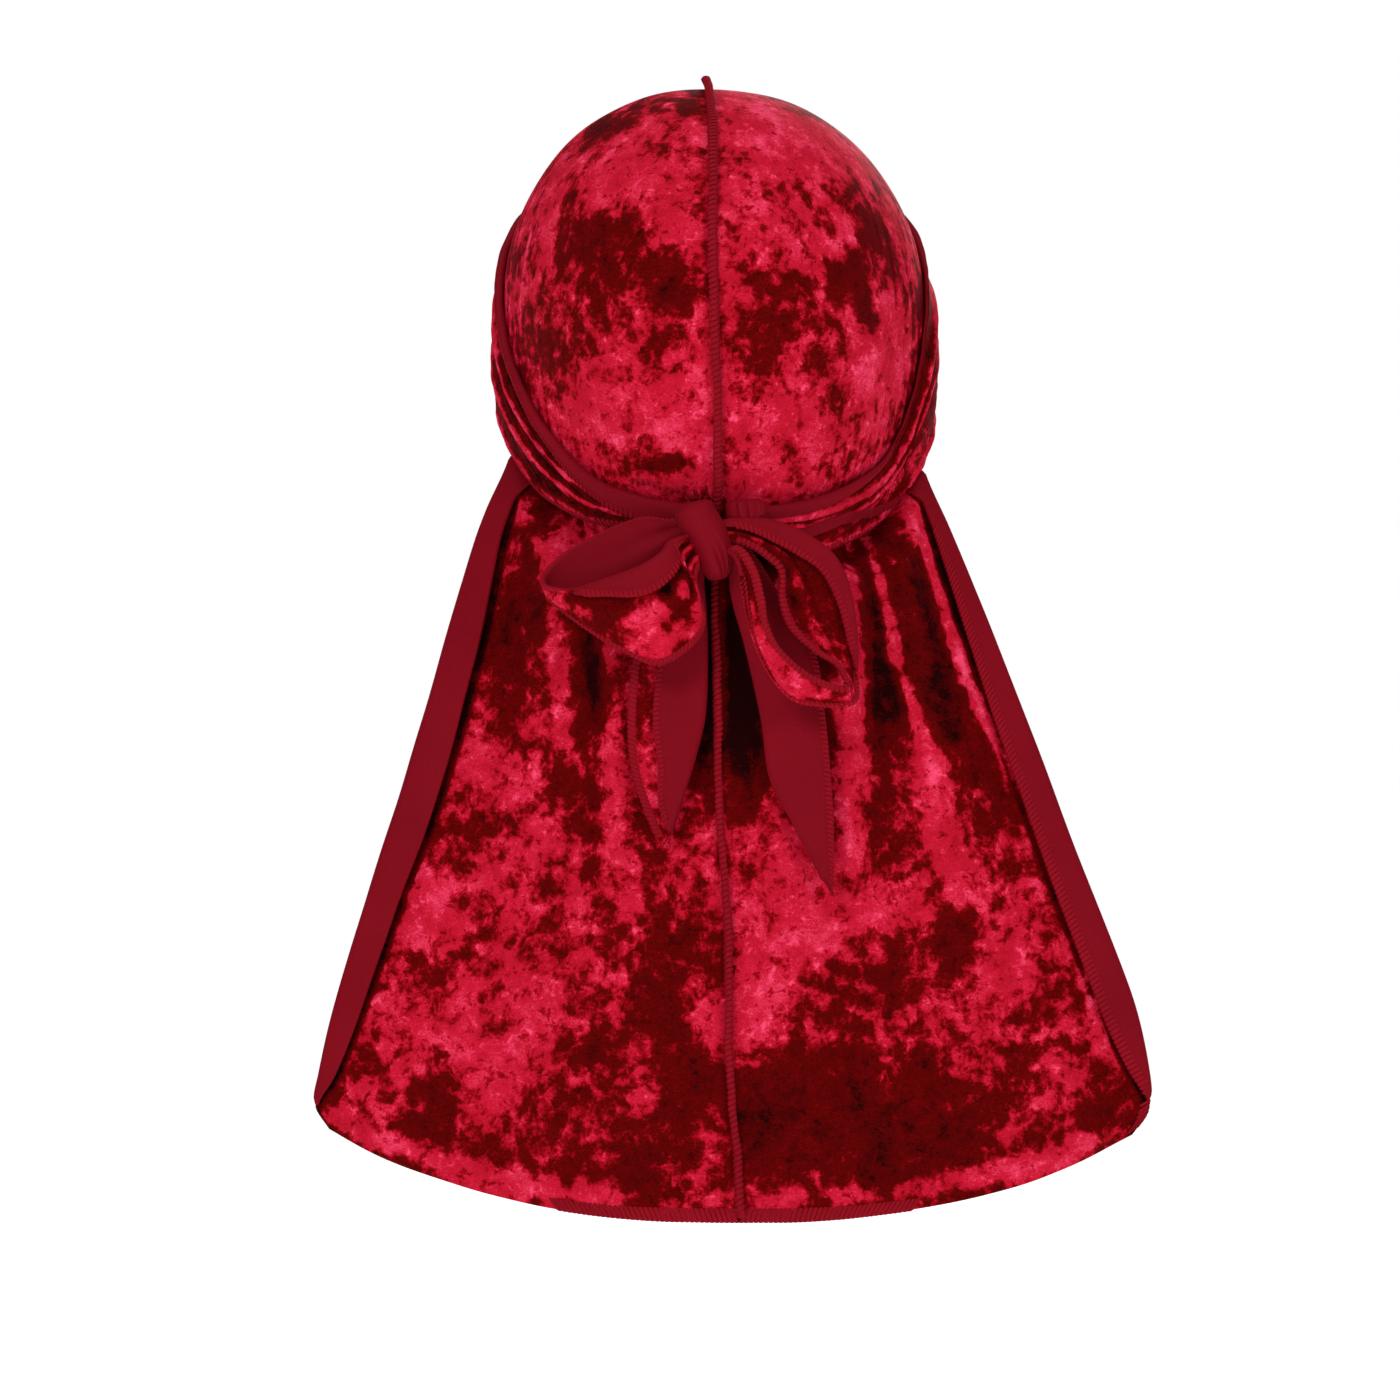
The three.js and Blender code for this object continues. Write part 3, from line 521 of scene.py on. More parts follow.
@dataclass(frozen=True)
class Velvet:
    """Crushed velvet: bright where the pile lies towards the eye, dark where it stands, and lighter
    or darker still where highlights and shade are painted in.
    """

    name: str = "velvet"
    # The lowest stops are reached mostly through painted shadow and the pinkish top stop mostly
    # through painted highlight; the stops between are the velvet's own colours.
    tones: tuple[tuple[float, Colour], ...] = (
        (0.0, (0.012, 0.0, 0.0001)),
        (0.1, (0.065, 0.0, 0.0002)),
        (0.24, (0.115, 0.0001, 0.0004)),
        (0.5, (0.33, 0.0016, 0.008)),
        (0.76, (0.57, 0.0085, 0.034)),
        (1.0, (0.91, 0.064, 0.155)),
    )
    patch: float = 42.0
    contrast: float = 3.4
    crinkle: float = 0.42
    roughness: float = 0.55
    specular: float = 0.02
    sheen: float = 0.1
    sheen_roughness: float = 0.3
    sheen_tint: Colour = (1.0, 0.05, 0.15)
    relief: float = 0.5
    relief_depth: float = 0.0012

    def material(self, pile: bpy.types.NodeTree) -> bpy.types.Material:
        """Make the material.

        Args:
            pile: The crushed pile group.

        Returns:
            The velvet material.
        """
        made, n, shader = new_finish(
            self.name, Roughness=self.roughness, Specular_IOR_Level=self.specular,
            Sheen_Weight=self.sheen, Sheen_Roughness=self.sheen_roughness,
            Sheen_Tint=self.sheen_tint)
        place = n.add("ShaderNodeTexCoord", "place in the object")
        # Per-vertex pile pattern together with the painted shade and painted highlights that each
        # piece adds.
        nap = n.add("ShaderNodeAttribute", "nap brushed by hand", attribute_name="nap")
        crush = n.add(
            "ShaderNodeGroup", "crushed pile with painted shading", node_tree=pile, Place=place.outputs["Object"],
            Nap=nap.outputs["Fac"], Patch=self.patch, Contrast=self.contrast, Crinkle=self.crinkle)
        dye_and_shading = n.add("ShaderNodeValToRGB", "dyed pile and painted shading", Fac=crush.outputs["Tone"])
        ramp = dye_and_shading.color_ramp
        ramp.elements.remove(ramp.elements[1])
        for k, (at, colour) in enumerate(self.tones):
            stop = ramp.elements.new(at) if k else ramp.elements[0]
            stop.position = at
            stop.color = (*colour, 1.0)
        bump = n.add("ShaderNodeBump", "crushed relief", Strength=self.relief,
                     Distance=self.relief_depth, Height=crush.outputs["Height"])
        n.set(shader, Base_Color=dye_and_shading.outputs["Color"], Normal=bump.outputs["Normal"])
        return made


@dataclass(frozen=True)
class Knit:
    """Smooth knitted cloth or thread."""

    name: str
    light: Colour
    dark: Colour
    gauge: float = 1700.0
    relief: float = 0.15
    relief_depth: float = 0.0003
    roughness: float = 0.62
    specular: float = 0.03
    sheen: float = 0.05
    sheen_roughness: float = 0.4
    sheen_tint: Colour = (1.0, 0.06, 0.12)

    def material(self, knit: bpy.types.NodeTree) -> bpy.types.Material:
        """Make the material.

        Args:
            knit: The fine knit group.

        Returns:
            The knit material.
        """
        made, n, shader = new_finish(
            self.name, Roughness=self.roughness, Specular_IOR_Level=self.specular,
            Sheen_Weight=self.sheen, Sheen_Roughness=self.sheen_roughness,
            Sheen_Tint=self.sheen_tint)
        place = n.add("ShaderNodeTexCoord", "place in the object")
        loops = n.add("ShaderNodeGroup", "fine knit", node_tree=knit, Gauge=self.gauge,
                      Place=place.outputs["Object"])
        bump = n.add("ShaderNodeBump", "knit relief", Strength=self.relief,
                     Distance=self.relief_depth, Height=loops.outputs["Height"])
        n.set(shader, Base_Color=n.blend(loops.outputs["Tone"], self.dark, self.light),
              Normal=bump.outputs["Normal"])
        return made


@dataclass
class Finishes:
    """The three finishes of the durag, made once."""

    velvet: bpy.types.Material = field(init=False)
    backing: bpy.types.Material = field(init=False)
    thread: bpy.types.Material = field(init=False)

    def __post_init__(self) -> None:
        """Make the node groups and the materials."""
        knit = knit_group()
        backing = Knit("backing", light=(0.215, 0.0032, 0.0105), dark=(0.15, 0.002, 0.0068))
        thread = Knit("thread", light=(0.29, 0.005, 0.014), dark=(0.19, 0.003, 0.008),
                      gauge=3000.0, relief=0.4, roughness=0.7)
        self.velvet = Velvet().material(CrushedPile().group())
        self.backing = backing.material(knit)
        self.thread = thread.material(knit)

    def cloth(self) -> list[bpy.types.Material]:
        """Materials of a sheet, in the order of its slots."""
        return [self.velvet, self.backing, self.thread]


# ---------------------------------------------------------------- meshes
def deselect() -> None:
    """Deselect everything."""
    bpy.ops.object.select_all(action="DESELECT")


@dataclass
class Sheet:
    """Grid of cloth: the middle of its thickness, and its pile pattern with painted shade and
    highlights.
    """

    name: str
    points: np.ndarray
    wall: float = CLOTH
    flip: bool = False
    nap: Numbers = 0.0
    bare: np.ndarray | None = None
    # Painted shading of the folds: how far round the cloth is smoothed, how strongly a fold's
    # height turns to tone, the darkest painted shade in valleys and the brightest painted highlight
    # on ridges.
    fold_reach: float = 6.0
    painted_fold_shading: float = 1.3
    painted_valley_shade: float = -1.6
    painted_ridge_highlight: float = 1.4
    weld: float = 1e-5
    sharp: float = 50.0

    def normals(self) -> np.ndarray:
        """Unit normals of the grid on the pile side."""
        across = np.gradient(self.points, axis=1)
        down = np.gradient(self.points, axis=0)
        made = unit(np.cross(down, across))
        return -made if self.flip else made

    def folded(self) -> np.ndarray:
        """How far each place stands out of the cloth round it: ridges above 0, valleys below.

        Returns:
            Heights in millimetres, by grid point.
        """
        smoothed = self.points
        for axis in (0, 1):
            size = smoothed.shape[axis]
            step = np.linalg.norm(np.diff(self.points, axis=axis), axis=2).mean()
            reach = int(np.clip(round(self.fold_reach / step), 1, size // 2))
            pad = [(0, 0)] * 3
            pad[axis] = (reach, reach)
            run = np.cumsum(np.pad(smoothed, pad, mode="reflect", reflect_type="odd"), axis=axis)
            run = np.concatenate([np.zeros_like(np.take(run, [0], axis=axis)), run], axis=axis)
            width = 2 * reach + 1
            above = np.take(run, np.arange(width, size + width), axis=axis)
            smoothed = (above - np.take(run, np.arange(size), axis=axis)) / width
        return ((self.points - smoothed) * self.normals()).sum(axis=2)

    def grid(self) -> tuple[bpy.types.Object, np.ndarray, np.ndarray]:
        """Lay a grid of faces over the points.

        Returns:
            The object, and the row and the column of each of its vertices.
        """
        rows, columns = self.points.shape[:2]
        deselect()
        bpy.ops.mesh.primitive_grid_add(
            x_subdivisions=columns - 1, y_subdivisions=rows - 1, size=1.0)
        made = bpy.context.object
        made.name = made.data.name = self.name
        flat = np.empty(rows * columns * 3)
        made.data.vertices.foreach_get("co", flat)
        flat = flat.reshape(-1, 3)
        column = np.rint((flat[:, 0] + 0.5) * (columns - 1)).astype(int)
        row = np.rint((flat[:, 1] + 0.5) * (rows - 1)).astype(int)
        if not self.flip:
            row = rows - 1 - row
        made.data.vertices.foreach_set("co", (self.points[row, column] * MM).ravel())
        return made, row, column

    def cut(self, mesh: bpy.types.Mesh, row: np.ndarray, column: np.ndarray) -> None:
        """Lay the cloth flat in the UV map, in metres.

        Args:
            mesh: The grid's mesh.
            row: Row of each vertex.
            column: Column of each vertex.
        """
        rows, columns = self.points.shape[:2]
        across = np.linalg.norm(np.diff(self.points, axis=1), axis=2).sum(axis=1).mean() * MM
        down = np.linalg.norm(np.diff(self.points, axis=0), axis=2).sum(axis=0).mean() * MM
        corner = np.empty(len(mesh.loops), int)
        mesh.loops.foreach_get("vertex_index", corner)
        place = np.stack(
            [column[corner] / (columns - 1) * across, row[corner] / (rows - 1) * down], 1)
        mesh.uv_layers[0].data.foreach_set("uv", place.ravel())

    def paint_pile_and_shading(self, mesh: bpy.types.Mesh, row: np.ndarray, column: np.ndarray) -> None:
        """Paint shade into the valleys and highlights onto the ridges of the folds, over the pile
        pattern, and leave the bare places in knit.

        Args:
            mesh: The grid's mesh.
            row: Row of each vertex.
            column: Column of each vertex.
        """
        # Painted highlight on ridges and painted shade in valleys, clipped, added to the pile
        # pattern and painted shading of the piece.
        pile_and_painted_shading = np.clip(self.painted_fold_shading * self.folded(), self.painted_valley_shade, self.painted_ridge_highlight) + self.nap
        nap = mesh.attributes.new("nap", "FLOAT", "POINT")
        nap.data.foreach_set("value", np.ascontiguousarray(pile_and_painted_shading[row, column]).ravel())
        if self.bare is not None:
            bare = self.bare[row, column]
            for polygon in mesh.polygons:
                if bare[list(polygon.vertices)].all():
                    polygon.material_index = Face.BACK.value

    def build(self, finishes: Finishes) -> bpy.types.Object:
        """Make the cloth as a solidified mesh.

        Args:
            finishes: The durag's finishes.

        Returns:
            The finished object, at the origin.
        """
        made, row, column = self.grid()
        for material in finishes.cloth():
            made.data.materials.append(material)
        self.cut(made.data, row, column)
        self.paint_pile_and_shading(made.data, row, column)
        made.data.update()
        bpy.ops.object.mode_set(mode="EDIT")
        bpy.ops.mesh.select_all(action="SELECT")
        bpy.ops.mesh.remove_doubles(threshold=self.weld)
        bpy.ops.object.mode_set(mode="OBJECT")
        wall = made.modifiers.new("wall", "SOLIDIFY")
        wall.thickness = self.wall * MM
        wall.offset = 0.0
        wall.material_offset = Face.BACK.value
        wall.material_offset_rim = Face.RIM.value
        bpy.ops.object.modifier_apply(modifier=wall.name)
        bpy.ops.object.shade_smooth_by_angle(angle=math.radians(self.sharp))
        return made


@dataclass(frozen=True)
class Overlock:
    """Overlocked edge: thread wrapped over the edge of a sheet, one stitch after another."""

    pitch: float
    band: float
    thread: float
    lift: float = 0.78
    spread: float = 1.8
    sides: int = 6
    under: float = 0.75  # share of the band that the thread covers on the back
    over: float = 0.42  # how far the thread stands past the edge
    turn: float = 0.3  # its height where it rounds the edge
    tip: float = 0.6  # thickness of the thread's ends

    def stitch(self) -> tuple[np.ndarray, list[tuple[int, ...]]]:
        """Model one stitch as a bent thread.

        Returns:
            Its vertices as (along, inward, out) in millimetres, and its faces.
        """
        path = np.array([  # places along in pitches, inward and out in millimetres
            (0.00, self.under * self.band, -self.lift),
            (0.12, 0.05, -self.lift),
            (0.22, -self.over, -self.turn),
            (0.32, -self.over, self.turn),
            (0.40, 0.10, self.lift),
            (1.05, self.band, self.lift),
            (1.10, self.band + 0.2, self.lift - 0.35),
        ])
        path[:, 0] = (path[:, 0] - 0.5) * self.pitch
        last = len(path) - 1
        deselect()
        bpy.ops.mesh.primitive_cylinder_add(
            vertices=self.sides, radius=1.0, depth=float(last), end_fill_type="NGON")
        made = bpy.context.object
        bpy.ops.object.mode_set(mode="EDIT")
        for level in range(1, last):
            bpy.ops.mesh.select_all(action="SELECT")
            bpy.ops.mesh.bisect(plane_co=(0, 0, level - last / 2), plane_no=(0, 0, 1))
        bpy.ops.object.mode_set(mode="OBJECT")
        co = np.array([tuple(v.co) for v in made.data.vertices])
        faces = [tuple(p.vertices) for p in made.data.polygons]
        bpy.data.objects.remove(made, do_unlink=True)
        level = np.rint(co[:, 2] + last / 2).astype(int)
        along = unit(np.gradient(path, axis=0))
        side = unit(np.cross(along, np.array([1.0, 0.15, 0.1])))
        up = np.cross(side, along)
        radius = self.thread * np.where((level == 0) | (level == last), self.tip, 1.0)
        ring = co[:, :1] * side[level] + self.spread * co[:, 1:2] * up[level]
        return path[level] + radius[:, None] * ring, faces

    def lay(self, name: str, sheet: Sheet, edges: Edges) -> bpy.types.Object:
        """Sew the stitches along edges of a sheet.

        Args:
            name: Name of the piece of stitching.
            sheet: The cloth.
            edges: Each edge with the parts of its length where the stitches start and end.

        Returns:
            The stitching as one object.
        """
        shape, faces = self.stitch()
        normals = sheet.normals()
        places, all_faces, count = [], [], 0
        for edge, start, stop in edges:
            grid, up = sheet.points, normals
            if edge in (Edge.TOP, Edge.BOTTOM):
                grid, up = grid.transpose(1, 0, 2), up.transpose(1, 0, 2)
            if edge in (Edge.LAST, Edge.BOTTOM):
                grid, up = grid[:, ::-1], up[:, ::-1]
            run = run_lengths(grid[:, 0])
            length = run[-1] * (stop - start)
            number = max(2, int(round(length / self.pitch)))
            for k in range(number):
                at = run[-1] * start + length * (k + 0.5) / number
                i = min(int(np.searchsorted(run, at, side="right")) - 1, len(run) - 2)
                t = (at - run[i]) / max(run[i + 1] - run[i], 1e-9)
                line = mix(grid[i], grid[i + 1], t)
                above = unit(mix(up[i], up[i + 1], t))
                along = unit(grid[i + 1, 0] - grid[i, 0])
                depth = run_lengths(line)
                inward = unit(line[1] - line[0])
                held = np.clip(shape[:, 1], 0, depth[-1])
                foot = between(held, depth, line) + (shape[:, 1] - held)[:, None] * inward
                out = between(held, depth, above)
                places.append(foot + shape[:, :1] * along + shape[:, 2:] * out)
                all_faces.extend(tuple(v + count for v in f) for f in faces)
                count += len(shape)
        return mesh_of(name, np.concatenate(places), all_faces)


def mesh_of(name: str, points: np.ndarray, faces: list[tuple[int, ...]]) -> bpy.types.Object:
    """Make an object from points in millimetres and faces.

    Args:
        name: Name of the object.
        points: Vertices in millimetres.
        faces: Vertex numbers of each face.

    Returns:
        The new object, with its faces pointing out.
    """
    mesh = bpy.data.meshes.new(name)
    mesh.from_pydata((points * MM).tolist(), [], faces)
    made = bpy.data.objects.new(name, mesh)
    bpy.context.collection.objects.link(made)
    deselect()
    bpy.context.view_layer.objects.active = made
    made.select_set(True)
    bpy.ops.object.mode_set(mode="EDIT")
    bpy.ops.mesh.select_all(action="SELECT")
    bpy.ops.mesh.normals_make_consistent(inside=False)
    bpy.ops.object.mode_set(mode="OBJECT")
    bpy.ops.object.shade_smooth_by_angle(angle=math.radians(60))
    return made


@dataclass(frozen=True)
class Turn:
    """Turned edge of a profile: the radius of its fold and the width of the turned strip."""

    radius: float
    width: float
    arc: int
    strip: int
    shut: float = 0.6  # width at which there is no fold left
    opens: float = 1.6  # radii of width over which it becomes a full fold
    least: float = 0.8  # least width of the flat strip

    def line(self, base: float, droop: float) -> np.ndarray:
        """Shape of the turned edge.

        Args:
            base: Height of the web where the fold starts.
            droop: How far the free edge of the strip sinks towards the web.

        Returns:
            Pairs of (across from the edge, height), from the web outwards.
        """
        closing = smooth((self.width - self.shut) / (self.opens * self.radius))
        flat = max(self.least, self.width - self.radius)
        step = np.arange(1, self.arc + self.strip + 1)
        share = step / (self.arc + self.strip)
        angle = math.pi * np.minimum(1.0, step / self.arc)
        along = np.maximum(0, step - self.arc) / self.strip
        across = self.radius - self.radius * np.sin(angle) + along * flat
        height = base + self.radius * (1 - np.cos(angle)) - droop * along ** 2
        return np.stack([
            mix(self.radius * (1 - share), across, closing), mix(base, height, closing)
        ], 1)


def profile(width: float, web: int, out: Callable[[np.ndarray], np.ndarray], droop: float,
            first: Turn | None = None, last: Turn | None = None) -> np.ndarray:
    """Cross profile of a web of cloth with turned edges.

    Args:
        width: Width of the web.
        web: Number of steps across it.
        out: Function that gives the height of the web at places across it.
        droop: How far a turned strip's free edge sinks towards the web.
        first: Turned edge at the start.
        last: Turned edge at the end.

    Returns:
        Pairs of (across, height).
    """
    start = first.radius if first else 0.0
    stop = width - last.radius if last else width
    w = np.linspace(start, stop, web + 1)
    parts = [np.stack([w, out(w)], 1)]
    if first:
        parts.insert(0, first.line(float(out(np.array([start]))[0]), droop)[::-1])
    if last:
        turned = last.line(float(out(np.array([stop]))[0]), droop)
        parts.append(np.stack([width - turned[:, 0], turned[:, 1]], 1))
    return np.concatenate(parts)


# ---------------------------------------------------------------- the head form
@dataclass(frozen=True)
class HeadForm:
    """The rounded form of the head that fills the crown, which isn't built."""

    half_width: float = 80.0
    half_depth: float = 96.5
    equator: float = -93.5
    above: float = 93.5
    below: float = 108.0
    power: float = 2.2
    nape: float = 0.15
    lean: float = -2.2
    rim_middle: float = -115.0
    rim_tilt: float = 51.0
    pole: float = 0.01  # polar angle within which the normal is straight up
    step: float = 0.001

    def rim(self, azimuth: Numbers) -> Numbers:
        """Height of the crown's edge at an azimuth from the middle of the back."""
        return self.rim_middle - self.rim_tilt * np.cos(azimuth)

    def point(self, azimuth: Numbers, polar: Numbers) -> np.ndarray:
        """Place on the form.

        Args:
            azimuth: Turn from the middle of the back, in radians.
            polar: Angle from the top, in radians.

        Returns:
            Places in millimetres along the last axis.
        """
        azimuth, polar = np.broadcast_arrays(np.asarray(azimuth, float), np.asarray(polar, float))
        upper = polar < math.pi / 2
        power = np.where(upper, 2 / self.power, 1.0)
        level = np.sign(np.cos(polar)) * np.abs(np.cos(polar)) ** power
        girth = np.abs(np.sin(polar)) ** power
        fuller = 1 - (1 - girth) * (1 - self.nape * np.maximum(0, np.cos(azimuth)) ** 2)
        girth = np.where(upper, girth, fuller)
        return np.stack([
            self.half_width * girth * np.sin(azimuth) + self.lean * np.maximum(0, level),
            -self.half_depth * girth * np.cos(azimuth),
            self.equator + np.where(upper, self.above, self.below) * level,
        ], -1)

    def normal(self, azimuth: Numbers, polar: Numbers) -> np.ndarray:
        """Outward unit normal of the form.

        Args:
            azimuth: Turn from the middle of the back, in radians.
            polar: Angle from the top, in radians.

        Returns:
            Unit vectors along the last axis.
        """
        azimuth, polar = np.broadcast_arrays(np.asarray(azimuth, float), np.asarray(polar, float))
        safe = np.maximum(polar, self.pole + self.step)
        around = self.point(azimuth + self.step, safe) - self.point(azimuth - self.step, safe)
        down = self.point(azimuth, safe + self.step) - self.point(azimuth, safe - self.step)
        made = unit(np.cross(down, around))
        return np.where((polar < self.pole)[..., None], np.array([0.0, 0.0, 1.0]), made)

    def polar_at(self, z: Numbers) -> np.ndarray:
        """Polar angle at which the form passes a height.

        Args:
            z: Heights in millimetres.

        Returns:
            Angles from the top, in radians.
        """
        z = np.asarray(z, float)
        level = (z - self.equator) / np.where(z > self.equator, self.above, self.below)
        upper = np.arccos(np.clip(level, 0, 1) ** (self.power / 2))
        lower = np.arccos(np.clip(level, -1, 0))
        return np.where(level > 0, upper, lower)

    def over(self, azimuth: Numbers, z: Numbers, lift: Numbers, flare: Numbers = 0.0) -> np.ndarray:
        """Place over the form.

        Args:
            azimuth: Turn from the middle of the back, in radians.
            z: Height on the form.
            lift: Distance along the form's normal.
            flare: Distance straight outwards from the neck.

        Returns:
            Places along the last axis.
        """
        azimuth, z, lift, flare = np.broadcast_arrays(
            *(np.asarray(v, float) for v in (azimuth, z, lift, flare)))
        polar = self.polar_at(z)
        outward = np.stack([np.sin(azimuth), -np.cos(azimuth), np.zeros_like(azimuth)], -1)
        return (self.point(azimuth, polar) + self.normal(azimuth, polar) * lift[..., None]
                + outward * flare[..., None])


HEAD = HeadForm()


def dress(piece: bpy.types.Object, slot: Slot, *nodes: str) -> None:
    """Join a finished piece to the frame.

    Args:
        piece: The finished object.
        slot: Material slot of the record; not used.
        nodes: CAD nodes that it stands for.
    """
    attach(piece, "root")
    if nodes:
        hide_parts(*nodes)
    LOG.info("%s: %d faces", piece.name, len(piece.data.polygons))


def sew(stitches: Overlock, sheet: Sheet, edges: Edges, finishes: Finishes) -> None:
    """Overlock edges of a sheet, as a piece of its own.

    Args:
        stitches: The overlock.
        sheet: The cloth.
        edges: Each edge with the parts of its length where the stitches start and end.
        finishes: The durag's finishes.
    """
    piece = stitches.lay(f"{sheet.name}_thread", sheet, edges)
    piece.data.materials.append(finishes.thread)
    dress(piece, Slot.THREAD)


# ---------------------------------------------------------------- seams
@dataclass(frozen=True)
class RaisedSeam:
    """Two seam allowances bound together on the outside, standing up from the cloth."""

    half: float = 1.15
    height: float = 3.6
    wander: float = 0.4
    wander_turns: float = 11.0
    lean: tuple[float, float, float] = (0.35, 17.0, 0.8)
    waver: tuple[tuple[float, float, float], ...] = ((0.18, 61.0, 0.0), (0.12, 143.0, 1.0))
    uneven: tuple[float, float, float] = (0.08, 37.0, 0.0)
    straight: float = 1 / 6  # share of the length over which the seam leaves the middle
    stations: int = 260
    steps: int = 6

    def sheet(self, name: str, place: Line, up: Line, size: Line) -> Sheet:
        """Lay out the standing fin of the seam.

        Args:
            name: Name of the piece.
            place: Function from 0..1 to places along the foot of the seam.
            up: Function from 0..1 to the way the seam stands.
            size: Function from 0..1 to its size, 1 for full height.

        Returns:
            The fin as a sheet, with its first column at the foot.
        """
        t = np.linspace(0, 1, self.stations + 1)
        foot, rise = place(t), unit(up(t))
        side = unit(np.cross(unit(np.gradient(foot, axis=0)), rise))
        free = within(t, 0, 1, self.straight, self.straight)
        foot = foot + side * (wavy(t, (self.wander, self.wander_turns, 0.0)) * free)[:, None]
        leaning = unit(rise + side * wavy(t, self.lean)[:, None])
        share = np.linspace(0, 1, self.steps + 1)[None, :, None]
        reach = (self.height * size(t) * (1 + wavy(t, self.uneven)))[:, None, None]
        points = foot[:, None] + leaning[:, None] * reach * share
        points = points + side[:, None] * wavy(t, *self.waver)[:, None, None] * share
        return Sheet(name, points, wall=2 * self.half)

    def build(self, sheet: Sheet, node: str, finishes: Finishes) -> None:
        """Make the seam and the thread wrapped over its edge.

        Args:
            sheet: The fin.
            node: CAD node that it stands for.
            finishes: The durag's finishes.
        """
        piece = sheet.build(finishes)
        piece.data.materials.clear()
        for _ in Face:
            piece.data.materials.append(finishes.thread)
        dress(piece, Slot.THREAD, node)
        bound = Overlock(pitch=2.0, band=2.6, thread=0.4, lift=self.half + 0.1, spread=2.2)
        sew(bound, sheet, [(Edge.LAST, 0.01, 0.99)], finishes)


# ---------------------------------------------------------------- crown
@dataclass(frozen=True)
class Creases:
    """Band of fine upright creases round the head.

    `middle` and `reach` are in degrees from the middle of the back. A wave has its height, its
    turn for each degree, its start and its drift for each millimetre of height.
    """

    height: float
    middle: float
    reach: float
    top: float
    fade: float
    waves: tuple[tuple[float, float, float, float], ...]
    bottom: float = -1000.0
    bottom_fade: float = 20.0

    def at(self, degrees: np.ndarray, z: np.ndarray) -> np.ndarray:
        """Height of the creases.

        Args:
            degrees: Azimuths from the middle of the back.
            z: Heights on the head.

        Returns:
            Heights over the cloth.
        """
        folds = wavy(degrees, *((high, turn, start + drift * z)
                                for high, turn, start, drift in self.waves))
        shown = bell(degrees - self.middle, self.reach)
        return self.height * shown * folds * within(
            z, self.bottom, self.top, self.bottom_fade, self.fade)


